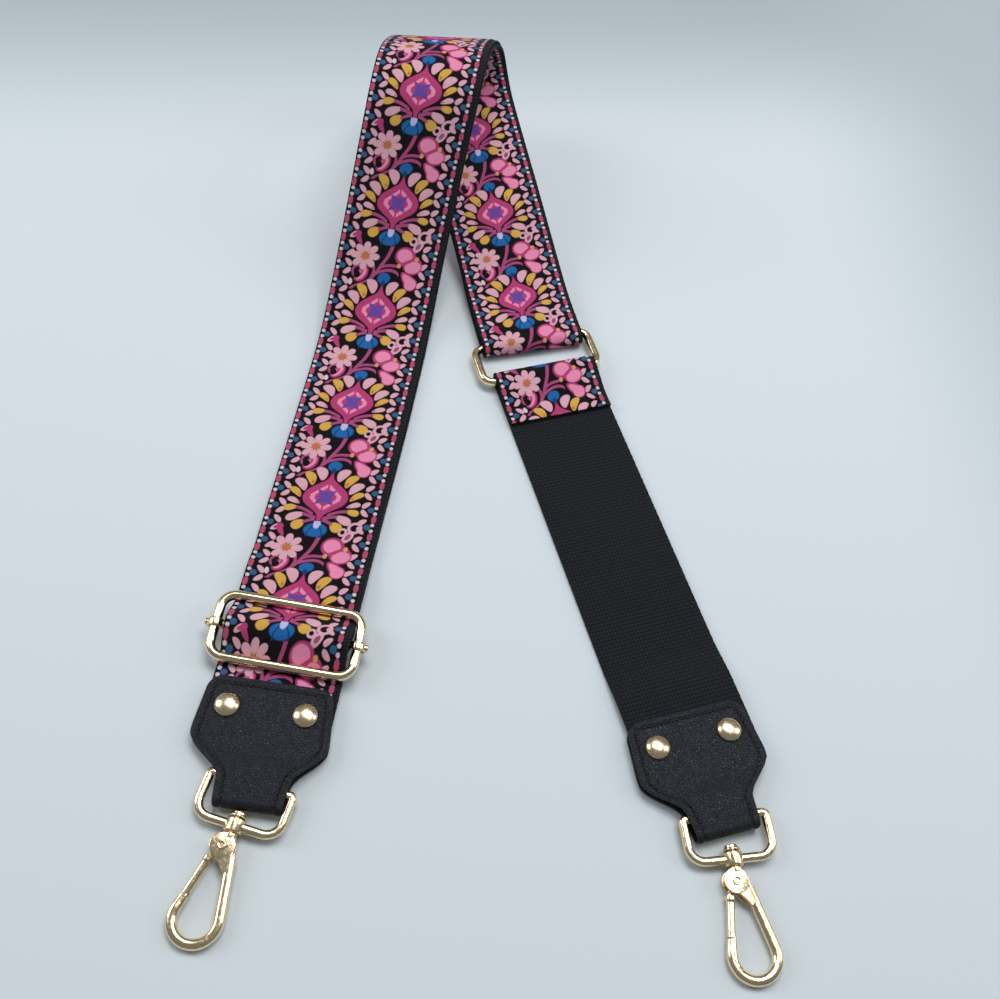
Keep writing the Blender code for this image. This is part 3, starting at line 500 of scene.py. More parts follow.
front_low = on_course(front_low_course, front_low_run, STRAP_FRAME, 1.0, 1.0)
slider_loop = on_course(slider_loop_course, slider_loop_run, STRAP_FRAME, 1.0, 1.0)
ring_loop = on_course(ring_loop_course, ring_loop_run, RING_LOOP_FRAME, -1.0, -1.0)
short_strap = on_course(short_course, short_run, SHORT_FRAME, -1.0, 1.0)
low_middle = float(np.interp(SLIDER_STATION, front_low_course[:, 0], front_low_run))


def flat_under(station, across, depth):
    """The returning layer where it lies on the table, its ribbon down."""
    aside = RETURN_SHIFT * smooth_share(station, LOOP_START, RETURN_START)
    local = np.stack(np.broadcast_arrays(across + aside, station, STRAP_BOTTOM + depth), axis=-1)
    return placed(local, STRAP_FRAME)


# Spots on the strap's middle line given for each stretch that lies between two bodies, and where the
# print of the returning layer and of the short strap starts, counted back along each
TAB_BLEND = (spot_on(TAB_TOP_STATION + 0.0005), spot_on(TAB_TOP_STATION + 0.0045))
ARCH_BLEND = (spot_on(0.0140), spot_on(LOWER_END - 0.0010))
RUN_BLEND = (spot_on(RUN_START + 0.0250), spot_on(JOIN_STATION - 0.0060))
RETURN_BLEND = (spot_on(LOOP_START + 0.0020), spot_on(RETURN_START - 0.0010))
RETURN_PRINT = 0.4900
SHORT_PRINT = 0.0055

# The strap's stretches: name, place, stations, section, bodies, blend's ends, the CAD nodes that
# each stands for, and how its print runs on from its neighbour's
STRETCHES = (
    ("tab_to_slider", front_low, spaced(0.0, low_middle, 0.0004), TAPE, ("long_strap", "slider"),
     TAB_BLEND, "front_lower", 0.0, 1.0),
    ("slider_to_arch", front_low, spaced(low_middle, float(front_low_run[-1]), 0.0005), TAPE,
     ("slider", "long_strap"), ARCH_BLEND, "front_lower", 0.0, 1.0),
    ("front_arch", front_on_arch, spaced(LOWER_END, RUN_START, ARCH_STEP_SHOWN), TAPE,
     ("long_strap",), (), "front_arch", 0.0, 1.0),
    ("front_run", front_on_arch, spaced(RUN_START, JOIN_STATION, ARCH_STEP_SHOWN), TAPE,
     ("long_strap", "ring_carriage"), RUN_BLEND, "front_run", 0.0, 1.0),
    ("return_run", return_on_arch, spaced(RETURN_RUN_START, JOIN_STATION, ARCH_STEP_SHOWN), UNDER_TAPE,
     ("long_strap", "ring_carriage"), RUN_BLEND, "return_run", RETURN_PRINT, -1.0),
    ("return_arch", return_on_arch, spaced(RETURN_START, RETURN_RUN_START, ARCH_STEP_SHOWN), UNDER_TAPE,
     ("long_strap",), (), "return_arch", RETURN_PRINT, -1.0),
    ("return_lower", flat_under, spaced(LOOP_START, RETURN_START, ARCH_STEP_SHOWN), UNDER_TAPE,
     ("slider", "long_strap"), RETURN_BLEND, "return_lower", RETURN_PRINT, -1.0),
    ("slider_loop", slider_loop, slider_loop_run, UNDER_TAPE, ("slider",), (), "slider_loop", 0.0, 1.0),
    ("ring_loop", ring_loop, ring_loop_run, UNDER_TAPE, ("ring_carriage",), (), "ring_loop",
     RETURN_PRINT - JOIN_STATION - float(ring_loop_run[-1]), 1.0),
    ("short_strap", short_strap, short_run, TAPE, ("short_strap",), (), "short",
     float(short_run[-1]) - SHORT_PRINT, -1.0),
)


def set_down(piece, bodies, node):
    """Rides a piece on its body, or, for a piece between two, bakes its place into its mesh, and hides
    the CAD's.
    """
    if len(bodies) == 2:
        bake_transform(piece)
    else:
        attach(piece, bodies[0])
    if node:
        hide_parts(node)


for name, place, stations, section, bodies, ends, node, print_start, print_way in STRETCHES:
    piece = strip(name + "_tape", scalloped(place), stations, section, WEBBING, print_start, print_way)
    set_down(piece, bodies, node + "_webbing")


# The ribbon: a jacquard band 47.5 mm wide with folk flowers on black, sewn to the webbing's face.
# The loom draws it in steps of one thread, and its threads and picks are ribbed by a bump.
RIBBON_HALF = 0.02375
RIBBON_THICKNESS = 0.00055
REPEAT = 52.9
UNIT = REPEAT / 6.0
THREAD = 0.30
PICK = 0.26
MOTIF_LEAN, MOTIF_RISE, MOTIF_ASIDE = -0.036, -0.085, 0.3

GROUND = srgb(14, 9, 16)
PLUM = srgb(62, 12, 36)
DEEP_PINK = srgb(190, 66, 122)
ROSE = srgb(245, 150, 188)
PALE = srgb(233, 178, 194)
YELLOW = srgb(226, 178, 82)
ORANGE = srgb(204, 122, 66)
BLUE = srgb(34, 106, 176)
NAVY = srgb(20, 66, 122)
DUSTY_BLUE = srgb(58, 98, 142)
LILAC = srgb(203, 200, 244)
PURPLE = srgb(108, 76, 166)
STEM = srgb(176, 80, 128)
DASH = srgb(190, 82, 120)
WHITE = srgb(228, 210, 220)
APRICOT = srgb(230, 162, 112)


class Loom:
    """Draws motifs one over another on a shade, and keeps the colour so far."""

    def __init__(self, shade, flat):
        across, along = shade.parts(flat)
        self.shade, self.colour = shade, GROUND
        self.x, self.y = across.math("SNAP", THREAD), along.math("SNAP", PICK)

    def window(self, middle):
        """A window one repeat tall about a height: x, y, the point, and the point folded at x = 0."""
        y = self.y.math("WRAP", middle + REPEAT / 2.0, middle - REPEAT / 2.0)
        x = y * MOTIF_LEAN + self.x + MOTIF_ASIDE
        y = self.x * MOTIF_RISE + y
        side = x.math("ABSOLUTE")
        points = [self.shade.node("ShaderNodeCombineXYZ", {}, {0: one, 1: y, 2: 1.0})
                  for one in (x, side)]
        return x, y, side, *points

    def paint(self, mask, colour):
        self.colour = self.shade.mix(mask, self.colour, colour)

    def axes(self, where, place, size, turn_deg):
        """Offset from a place along two turned axes, divided by the half sizes: two dot products."""
        c, s = math.cos(math.radians(turn_deg)), math.sin(math.radians(turn_deg))
        rows = ((c, s, -c * place[0] - s * place[1]), (-s, c, s * place[0] - c * place[1]))
        return [self.shade.node("ShaderNodeVectorMath", {"operation": "DOT_PRODUCT"},
                                {0: where, 1: tuple(v / half for v in row)}, 1)
                for row, half in zip(rows, size)]

    def oval(self, where, place, size, turn_deg):
        """Squared length of the turned offset over the half sizes: under 1 inside an oval."""
        p, q = self.axes(where, place, size, turn_deg)
        return p.math("MULTIPLY_ADD", p, q * q)

    def spot(self, where, place, size, colour, turn_deg=0.0, soft=0.18):
        inside = self.oval(where, place, size, turn_deg)
        self.paint(self.shade.step(inside, 1.0 + soft, 1.0 - soft), colour)

    def ringlet(self, where, place, size, colour, turn_deg=0.0, wall=0.28):
        """A closed curl: where the oval's length is within a wall of 1."""
        off = (self.oval(where, place, size, turn_deg).math("SQRT") - 1.0).math("ABSOLUTE")
        self.paint(self.shade.step(off, wall + 0.08, wall - 0.08), colour)

    def petal(self, where, place, half_long, half_wide, turn_deg, bow, taper, colour, base=None,
              reach=0.0):
        """A leaf whose middle line is bowed by a parabola and whose width grows toward its tip:
        p^2 + ((q + bow p^2) / (1 + taper p))^2 under 1. Its base is shaded."""
        shade = self.shade
        p, q = self.axes(where, place, (half_long, half_wide), turn_deg)
        square = p * p
        if bow:
            q = square.math("MULTIPLY_ADD", bow * half_long / half_wide, q)
        if taper:
            q = q / p.math("MULTIPLY_ADD", taper, 1.0)
        inside = q.math("MULTIPLY_ADD", q, square)
        self.paint(shade.step(inside, 1.14, 0.86), colour)
        if base:
            heart = shade.step(q.math("ABSOLUTE").math("MULTIPLY_ADD", 0.9, p), reach, reach - 0.35)
            self.paint(shade.step(inside, 0.75, 0.55) * heart, base)

    def line(self, value, other, points, width, colour):
        """A stem: its other coordinate follows a curve of the first through the points."""
        low, high = points[0][0], points[-1][0]
        least, most = min(b for _, b in points), max(b for _, b in points)
        knots = [((a - low) / (high - low), (b - least) / (most - least)) for a, b in points]
        drawn = self.shade.node("ShaderNodeFloatCurve", {"curve": knots},
                                {1: self.shade.step(value, low, high, kind="LINEAR")})
        off = (drawn.math("MULTIPLY_ADD", most - least, least) - other).math("ABSOLUTE")
        beyond = (value - (low + high) / 2.0).math("ABSOLUTE") - ((high - low) / 2.0 - width)
        self.paint(self.shade.step(off.math("MAXIMUM", beyond), width + 0.12, width - 0.12), colour)


# The fan's petals on one side: place, half length, half width, way it points, bow, taper, colours
# of the leaf and of its base, and how far the base's reaches
FAN = (
    ((4.3, 12.1), 3.7, 2.2, 62.0, 0.26, 0.18, PALE, ROSE, -0.35),
    ((8.4, 9.3), 3.9, 1.9, 58.0, 0.24, 0.20, YELLOW, ORANGE, -0.05),
    ((11.5, 5.8), 3.8, 2.0, 48.0, 0.24, 0.22, PALE, ROSE, -0.15),
    ((12.9, 1.5), 3.4, 1.45, 40.0, 0.18, 0.30, YELLOW, ORANGE, -0.10),
    ((12.8, -3.2), 3.0, 1.25, 22.0, 0.10, 0.34, PALE, DEEP_PINK, -0.20),
    ((13.2, -6.9), 2.9, 1.55, -10.0, 0.0, 0.35, YELLOW, ORANGE, -0.30),
    ((10.3, -11.0), 3.9, 1.9, -26.0, 0.05, 0.30, PALE, DEEP_PINK, -0.60),
    ((8.0, -15.0), 2.9, 2.3, -40.0, 0.0, 0.22, YELLOW, ORANGE, -0.45),
)


def draw_medallion(loom):
    """The onion: half width is a curve of height, with a banded diamond and a star for its heart."""
    shade = loom.shade
    _, y, side, both, folded = loom.window(0.0)
    for petal in FAN:
        loom.petal(folded, *petal)
    for points, width in ((((3.0, -9.6), (6.0, -7.9), (8.5, -7.0), (11.0, -6.6)), 0.75),
                          (((1.0, -11.0), (3.0, -10.9), (5.0, -10.2), (7.5, -9.7)), 0.75),
                          (((1.0, -11.9), (2.6, -12.2), (4.3, -12.9), (6.2, -13.8)), 0.80)):
        loom.line(side, y, points, width, STEM)
    loom.spot(both, (-0.1, 16.3), (3.0, 2.6), BLUE, 12.0)
    loom.spot(both, (-0.1, 13.6), (1.0, 1.7), NAVY)
    loom.spot(folded, (0.0, -17.2), (4.9, 3.5), BLUE)
    loom.line(y, side, ((-20.8, 3.2), (-18.5, 3.0), (-16.5, 2.0), (-15.0, 1.5)), 0.32, NAVY)
    loom.spot(folded, (0.0, -14.1), (1.5, 2.5), LILAC)
    outline = ((-12.6, 0.9), (-10.5, 1.1), (-9.0, 1.9), (-7.0, 4.3), (-5.0, 7.0), (-3.0, 8.9),
               (-1.0, 9.6), (1.0, 9.4), (3.0, 8.4), (5.0, 6.4), (7.0, 3.9), (8.5, 2.0), (10.0, 1.0),
               (12.4, 0.3))
    low, high, widest = outline[0][0], outline[-1][0], 10.0
    knots = [((a - low) / (high - low), b / widest) for a, b in outline]
    share = shade.step(y, low, high, kind="LINEAR")
    half = shade.node("ShaderNodeFloatCurve", {"curve": knots}, {1: share}) * widest
    inset = half - side
    tall = shade.step(y.math("ABSOLUTE"), 12.55, 12.35)
    loom.paint(shade.step(inset, -0.62, -0.42) * shade.step(y.math("ABSOLUTE"), 12.9, 12.6), PLUM)
    loom.paint(shade.step(inset, -0.06, 0.06) * tall, DEEP_PINK)
    rise = (y + 0.3).math("ABSOLUTE")
    diamond = side * 0.93 + rise
    corner = side.math("MAXIMUM", rise)
    band = diamond.math("MAXIMUM", corner * 1.10)
    loom.paint(shade.step(band, 7.35, 7.15), ROSE)
    loom.paint(shade.step(band, 5.25, 5.05), DEEP_PINK)
    nick = ((side - rise).math("ABSOLUTE") - 0.2).math("MINIMUM", side)
    loom.paint(shade.step(nick, 0.50, 0.34) * shade.step(band, 7.35, 7.15)
               * shade.step(band, 4.9, 5.1), DEEP_PINK)
    for place, size, turn in (((1.75, 1.45), (2.3, 1.15), 42.0), ((1.75, -2.05), (2.3, 1.15), -42.0),
                              ((0.0, -0.3), (2.0, 2.1), 0.0), ((0.0, -0.3), (1.0, 3.4), 0.0),
                              ((0.0, -0.3), (3.3, 0.85), 0.0)):
        loom.spot(folded, place, size, PURPLE, turn, 0.3)


def draw_side_motifs(loom):
    """What fills the black beside and between the medallions."""
    shade = loom.shade
    both = loom.window(0.0)[3]
    loom.spot(both, (12.9, 15.0), (3.2, 3.3), DEEP_PINK)
    loom.petal(both, (11.0, 17.2), 4.6, 2.5, -42.0, 0.0, 0.30, DEEP_PINK)
    loom.spot(both, (12.8, 15.0), (2.7, 2.9), ROSE)
    loom.petal(both, (11.2, 17.0), 3.7, 1.8, -42.0, 0.0, 0.30, ROSE)
    loom.spot(both, (-15.4, 12.9), (0.9, 1.6), WHITE, 12.0)
    loom.petal(both, (-10.8, 17.0), 4.3, 2.5, 62.0, -0.10, -0.05, DEEP_PINK)
    loom.petal(both, (-10.9, 17.0), 3.4, 1.5, 60.0, -0.05, 0.0, ROSE)
    loom.ringlet(both, (-13.2, 18.4), (2.3, 2.6), STEM, 0.0, 0.22)
    loom.spot(both, (-13.0, 16.6), (1.5, 1.7), GROUND)
    loom.spot(both, (-14.9, -16.9), (1.5, 1.6), DEEP_PINK)
    loom.petal(both, (-14.0, -19.2), 2.9, 1.1, 122.0, 0.10, 0.30, DEEP_PINK)
    loom.spot(both, (-16.3, -17.4), (1.2, 0.8), DEEP_PINK, 20.0)
    loom.ringlet(both, (11.6, -17.2), (1.45, 1.6), PALE, 0.0, 0.34)
    loom.ringlet(both, (16.2, -14.6), (2.5, 2.3), PALE, 20.0, 0.26)
    loom.ringlet(both, (14.4, -19.4), (1.4, 2.5), PALE, -30.0, 0.34)
    loom.spot(both, (14.5, -19.4), (0.8, 1.6), STEM, -30.0)
    x, y, _, both, _ = loom.window(REPEAT / 2.0)
    for value, other, points, width in (
            (y, x, ((9.4, -14.6), (11.0, -13.2), (13.0, -9.6), (15.2, -6.6), (18.5, -4.4),
                    (22.0, -2.9), (27.0, -0.6), (32.2, 0.6)), 0.85),
            (x, y, ((-6.4, 15.9), (-4.0, 18.2), (-1.0, 19.9), (2.0, 20.5), (4.6, 20.0),
                    (6.4, 18.3)), 0.75),
            (x, y, ((-4.2, 19.4), (-2.0, 21.8), (1.0, 22.8), (3.6, 22.9), (6.0, 23.2)), 0.70),
            (y, x, ((16.4, -6.4), (18.5, -5.7), (20.5, -5.9), (22.6, -6.9)), 0.60)):
        loom.line(value, other, points, width, STEM)
    for lobe, size in (((11.9, 24.0), (4.7, 4.2)), ((7.6, 28.0), (4.9, 4.6))):
        loom.spot(both, lobe, size, DEEP_PINK, -20.0)
    loom.spot(both, (12.2, 23.3), (3.8, 2.9), ROSE, 12.0)
    loom.spot(both, (7.3, 28.3), (3.7, 3.3), ROSE, -20.0)
    loom.petal(both, (9.4, 25.6), 3.6, 0.8, 32.0, -0.12, 0.0, DEEP_PINK)
    loom.spot(both, (5.6, 23.2), (0.95, 1.15), APRICOT)
    loom.spot(both, (13.2, 27.4), (1.0, 1.2), APRICOT)
    daisy = (-11.2, 26.0)
    centre = shade.mapped(both, (*daisy, 0.0))
    dx, dy = shade.parts(centre)
    reach = shade.node("ShaderNodeVectorMath", {"operation": "LENGTH"}, {0: centre}, 1)
    turn = dy.math("ARCTAN2", dx).math("WRAP", math.pi / 8.0, -math.pi / 8.0)
    leaf = shade.node("ShaderNodeCombineXYZ", {},
                      {0: reach * turn.math("COSINE"), 1: reach * turn.math("SINE"), 2: 1.0})
    loom.petal(leaf, (4.35, 0.0), 2.55, 1.62, 0.0, 0.0, 0.14, PALE, APRICOT, -0.35)
    loom.spot(both, daisy, (1.7, 1.7), ORANGE, 0.0, 0.3)


def draw_border(loom, side, apex):
    """Leaf pairs whose tips point outward, a blue bead between two pairs, and the beaded cord."""
    shade = loom.shade
    y = loom.y.math("WRAP", apex + UNIT / 2.0, apex - UNIT / 2.0)
    rise = (y - apex).math("ABSOLUTE")
    unit = shade.node("ShaderNodeCombineXYZ", {}, {0: loom.x * side, 1: rise, 2: 1.0})
    loom.petal(unit, (17.75, 2.2), 2.2, 1.15, 135.0, 0.10, 0.12, PALE)
    loom.spot(unit, (20.35, UNIT / 2.0), (1.45, 1.35), DUSTY_BLUE)
    loom.spot(unit, (22.5, 0.0), (1.15, 1.95), DASH, 0.0, 0.12)
    loom.spot(unit, (22.45, 2.95), (0.88, 0.85), WHITE)


def floral_ribbon(name, flat_from):
    """The ribbon's shade, from a function that gives its flat coordinates in millimetres."""
    shade = Shade(name, Roughness=0.75, Specular_IOR_Level=0.14, Sheen_Weight=0.03,
                  Sheen_Roughness=0.45)
    flat = flat_from(shade)
    loom = Loom(shade, flat)
    for side, apex in ((-1.0, 14.0), (1.0, 19.0)):
        draw_border(loom, side, apex)
    draw_side_motifs(loom)
    draw_medallion(loom)
    across, along = shade.parts(flat)
    ribs = (along * (math.pi / PICK)).math("SINE").math("ABSOLUTE")
    threads = (across * (math.pi / THREAD)).math("SINE").math("ABSOLUTE")
    mottle = shade.noise(shade.mapped(flat, size=(1.6, 0.5, 1.0)), 1.0, 3.0)
    darker = shade.mix(1.0, loom.colour, (0.62, 0.58, 0.62), "MULTIPLY")
    shade.feed(Base_Color=shade.mix(mottle * 0.40, loom.colour, darker))
    height = ribs * 0.5 + threads * 0.3 + mottle
    shade.bump(height, 0.00022, 0.8)
    return shade.material


def print_on_uv(shade):
    return shade.mapped(shade.uv(), size=MM)


def print_in_place(shade):
    """The flat stretch under the slider: its print stays put while the slider's hump passes."""
    return shade.mapped(shade.here(), (*ARCH_ORIGIN, 0.0), math.radians(STRAP_HEADING_DEG), MM)


PRINT_PHASE = 0.0115


def phased(flat_from):
    return lambda shade: shade.mapped(flat_from(shade), (0.0, -PRINT_PHASE / MM[1], 0.0))


RIBBON = floral_ribbon("floral_ribbon", phased(print_on_uv))
RIBBON_IN_PLACE = floral_ribbon("floral_ribbon_in_place", phased(print_in_place))
BAND = tape_section(RIBBON_HALF, 0.0, RIBBON_THICKNESS, columns=12, edge_steps=2)

for name, place, stations, section, bodies, ends, node, print_start, print_way in STRETCHES:
    finish = RIBBON_IN_PLACE if node == "front_lower" else RIBBON
    piece = strip(name + "_ribbon", place, stations, BAND, finish, print_start, print_way)
    set_down(piece, bodies, node + "_ribbon")


# The slider: a frame of round gold wire bent into a rounded rectangle, and a centre bar whose eyes
# are closed round the frame's short sides, so that it can slide along them.
SLIDER_SHIFT = 0.0004
SLIDER_FRAME = stand(STRAP_FRAME @ Vector((SLIDER_SHIFT, SLIDER_STATION, SLIDER_BAR_HEIGHT)),
                     STRAP_HEADING_DEG, SLIDER_TILT)
FRAME_CORNER, RING_CORNER = 0.0060, 0.0050
EYE_BORE, EYE_RADIUS, EYE_HALF = WIRE + 0.00015, 0.0034, 0.0017
RING_WIDTH = 0.0575


def gold(name, roughness=0.13, relief=0.00007):
    """Pale gold plate on cast metal: faint dents, a fine orange peel, and duller patches."""
    shade = Shade(name, Metallic=1.0)
    where = shade.here()
    dents = shade.noise(where, 420.0, 2.0)
    peel = shade.noise(where, 2600.0, 2.0)
    wear = shade.step(shade.noise(where, 900.0, 3.0), 0.45, 0.75)
    shade.feed(Base_Color=shade.mix(wear, srgb(244, 224, 186), srgb(226, 200, 156)),
               Roughness=shade.step(wear + dents * 0.5, 0.0, 1.4, roughness, roughness + 0.16))
    shade.bump(dents + peel * 0.10, relief, 0.45)
    return shade.material


GOLD = gold("champagne_gold")
DOME_GOLD = gold("dome_gold", 0.20, 0.00001)
CAST_GOLD = gold("cast_gold", 0.15, 0.00013)


def tube(points, radius, steps=20, squareness=2.0, closed=False, flatten=1.0):
    """A section carried along a path in the local XY plane: each ring is the point plus radius
    times (cos a along the path's normal, sin a along Z), squared off by a superellipse's power."""
    points = np.asarray(points, float)
    if closed:
        ahead = np.roll(points, -1, 0) - np.roll(points, 1, 0)
    else:
        ahead = np.gradient(points, axis=0)
    ahead /= np.linalg.norm(ahead, axis=1, keepdims=True)
    normal = np.stack([-ahead[:, 1], ahead[:, 0], np.zeros(len(points))], -1)
    angle = np.linspace(0.0, 2.0 * math.pi, steps, endpoint=False)
    c, s = np.cos(angle), np.sin(angle)
    c, s = [np.sign(v) * np.abs(v) ** (2.0 / squareness) for v in (c, s)]
    radius = np.broadcast_to(radius, (len(points),))[:, None, None]
    up = np.array([0.0, 0.0, flatten])
    ring = c[None, :, None] * normal[:, None, :] + s[None, :, None] * up
    grid = points[:, None, :] + radius * ring
    return np.concatenate([grid, grid[:1]]) if closed else grid


def rounded_box_path(width, height, radii, corner_steps=10, side_steps=8):
    """Points of a rectangle with rounded corners, from the top right one round to the left."""
    corners = ((width / 2.0, height / 2.0), (-width / 2.0, height / 2.0),
               (-width / 2.0, -height / 2.0), (width / 2.0, -height / 2.0))
    points = []
    for k, ((x, y), radius) in enumerate(zip(corners, radii)):
        angle = math.pi / 2.0 * k + np.linspace(0.0, math.pi / 2.0, corner_steps + 1)
        arc = np.stack([x - math.copysign(radius, x) + radius * np.cos(angle),
                        y - math.copysign(radius, y) + radius * np.sin(angle)], -1)
        if points:
            share = np.linspace(0.0, 1.0, side_steps + 1)[1:-1, None]
            points.append(points[-1][-1] * (1.0 - share) + arc[0] * share)
        points.append(arc)
    share = np.linspace(0.0, 1.0, side_steps + 1)[1:-1, None]
    points.append(points[-1][-1] * (1.0 - share) + points[0][0] * share)
    path = np.concatenate(points)
    return np.concatenate([path, np.zeros((len(path), 1))], axis=1)


def wire_loop(name, points, matrix, body, node):
    """A gold wire that closes on itself: a grid that joins up both ways, so it has no end faces."""
    grid = placed(tube(points, WIRE, 24, closed=True), matrix)[:-1]
    rows, columns = grid.shape[:2]
    number = np.arange(rows * columns).reshape(rows, columns)
    quads = np.stack([number, np.roll(number, -1, 1), np.roll(np.roll(number, -1, 1), -1, 0),
                      np.roll(number, -1, 0)], -1).reshape(-1, 4)
    flat = grid.reshape(-1, 3)
    if inside_out(flat, quads):
        quads = quads[:, ::-1]
    mesh = bpy.data.meshes.new(name)
    mesh.from_pydata(flat.tolist(), [], quads.tolist())
    mesh.shade_smooth()
    mesh.materials.append(GOLD)
    set_down(linked(name, mesh), (body,), node)


def lathe(profile, axis="Z", centre=(0.0, 0.0, 0.0), steps=40):
    """A turned surface: (radius, height) pairs carried round an axis."""
    profile = np.asarray(profile, float)
    radius, height = np.maximum(profile[:, 0], 0.00002), profile[:, 1]
    angle = np.linspace(0.0, 2.0 * math.pi, steps, endpoint=False)
    one, two = radius[:, None] * np.cos(angle), radius[:, None] * np.sin(angle)
    up = np.broadcast_to(height[:, None], one.shape)
    order = {"Z": (one, two, up), "Y": (one, up, two), "X": (up, one, two)}[axis]
    return np.stack(order, -1) + np.asarray(centre)


def rounded_profile(corners, radius, steps=4):
    """A turned piece's profile with each outer corner rounded: a short arc by a quadratic blend."""
    corners = [np.array(c, float) for c in corners]
    points = [corners[0]]
    for before, here, after in zip(corners, corners[1:], corners[2:]):
        reach = min(radius, np.linalg.norm(before - here) / 2.0, np.linalg.norm(after - here) / 2.0)
        start = here + (before - here) / np.linalg.norm(before - here) * reach
        end = here + (after - here) / np.linalg.norm(after - here) * reach
        for t in np.linspace(0.0, 1.0, steps + 1):
            points.append((1 - t) ** 2 * start + 2 * t * (1 - t) * here + t * t * end)
    points.append(corners[-1])
    return points


def metal(name, grids, matrix, body, node, material=GOLD):
    """A gold piece in its own frame, set down, and riding where its CAD node rides."""
    piece = surface(name, [placed(grid, matrix) for grid in grids], sharp_deg=50.0)
    piece.data.materials.append(material)
    set_down(piece, (body,), node)


wire_loop("slider_wire", rounded_box_path(*SLIDER_SIZE, (FRAME_CORNER,) * 4), SLIDER_FRAME, "slider",
          "slider_frame")

bar_half = SLIDER_SIZE[0] / 2.0
eye_profile = rounded_profile([(EYE_BORE, EYE_HALF), (EYE_RADIUS, EYE_HALF), (EYE_RADIUS, -EYE_HALF),
                               (EYE_BORE, -EYE_HALF), (EYE_BORE, EYE_HALF)], 0.0006)
nub_profile = rounded_profile([(0.0, 0.0012), (0.0017, 0.0012), (0.0017, -0.0010), (0.0, -0.0010)],
                              0.0007)
bar_end = bar_half - 0.0030
bar_grids = [lathe([(SLIDER_BAR_RADIUS, -bar_end), (SLIDER_BAR_RADIUS, bar_end)], "X")]
for side in (-1.0, 1.0):
    bar_grids.append(lathe(eye_profile, "Y", (side * bar_half, 0.0, 0.0)))
    bar_grids.append(lathe(nub_profile, "X", (side * (bar_half + 0.0032), 0.0, 0.0), 24))
metal("slider_centre_bar", bar_grids, SLIDER_FRAME, "slider", "slider_bar")


# The ring: gold wire of the same gauge, bent square with tight corners. The long strap turns round
# its upper bar and the short one round its lower bar.
ring_path = rounded_box_path(RING_WIDTH, RING_DROP, (RING_CORNER,) * 4)
ring_path[:, 1] -= RING_DROP / 2.0
wire_loop("ring_wire", ring_path, RING_FRAME, "ring", "ring")


# The tabs: one strip of pebbled black leather each, folded round the bail, sewn along its edges
# with black thread and riveted through the strap's end. Their cut edges are painted.
LEATHER = 0.0012
TAB_LENGTH = 0.0506
BACK_BOTTOM = 0.0011
FRONT_TOP = 0.0061
FOLD_RADIUS = 0.00325
POCKET_HEIGHT = BACK_BOTTOM + FOLD_RADIUS
BULGE_TOP = POCKET_HEIGHT + FOLD_RADIUS
BULGE_START, BULGE_END, BULGE_RADIUS = 0.0365, 0.0280, 0.0100
TAB_CORNER, TAB_WIDEST = 0.0065, 0.0210
TAB_TOP_HALF, TAB_WIDE_HALF = 0.0249, 0.0263
SHOULDER_START, SHOULDER_END = 0.0235, 0.0400
THROAT_START, THROAT_HALF, NECK_HALF = 0.0374, 0.0139, 0.0128
SEAM_INSET = 0.0030
STITCH_PITCH, STITCH_HALF, THREAD_RADIUS = 0.0023, 0.00112, 0.00042


def neck_share(along):
    """0 in the wide part of a tab, 1 in its neck, and a cosine between them."""
    share = np.clip((along - SHOULDER_START) / (SHOULDER_END - SHOULDER_START), 0.0, 1.0)
    return 0.5 - 0.5 * np.cos(math.pi * share)


def tab_half_width(along):
    """Half width at a distance from the top edge: round corners, then a cosine to the neck."""
    along = np.clip(along, 0.0, TAB_LENGTH)
    corner = np.clip(TAB_CORNER - along, 0.0, TAB_CORNER)
    rounding = TAB_CORNER - np.sqrt(np.maximum(TAB_CORNER ** 2 - corner ** 2, 0.0))
    side = np.interp(along, [TAB_CORNER, TAB_WIDEST], [TAB_TOP_HALF, TAB_WIDE_HALF])
    shoulder = neck_share(along)
    neck = np.interp(along, [THROAT_START, TAB_LENGTH], [THROAT_HALF, NECK_HALF])
    return (side - rounding) * (1.0 - shoulder) + neck * shoulder


tab_course, tab_run = taut_course((
    (0.0, BACK_BOTTOM, 0.0), (TAB_LENGTH - FOLD_RADIUS, POCKET_HEIGHT, FOLD_RADIUS),
    (BULGE_START, BULGE_TOP - BULGE_RADIUS, BULGE_RADIUS),
    (BULGE_END, FRONT_TOP + BULGE_RADIUS, -BULGE_RADIUS), (0.0, FRONT_TOP, 0.0)),
    spacing=0.0005)


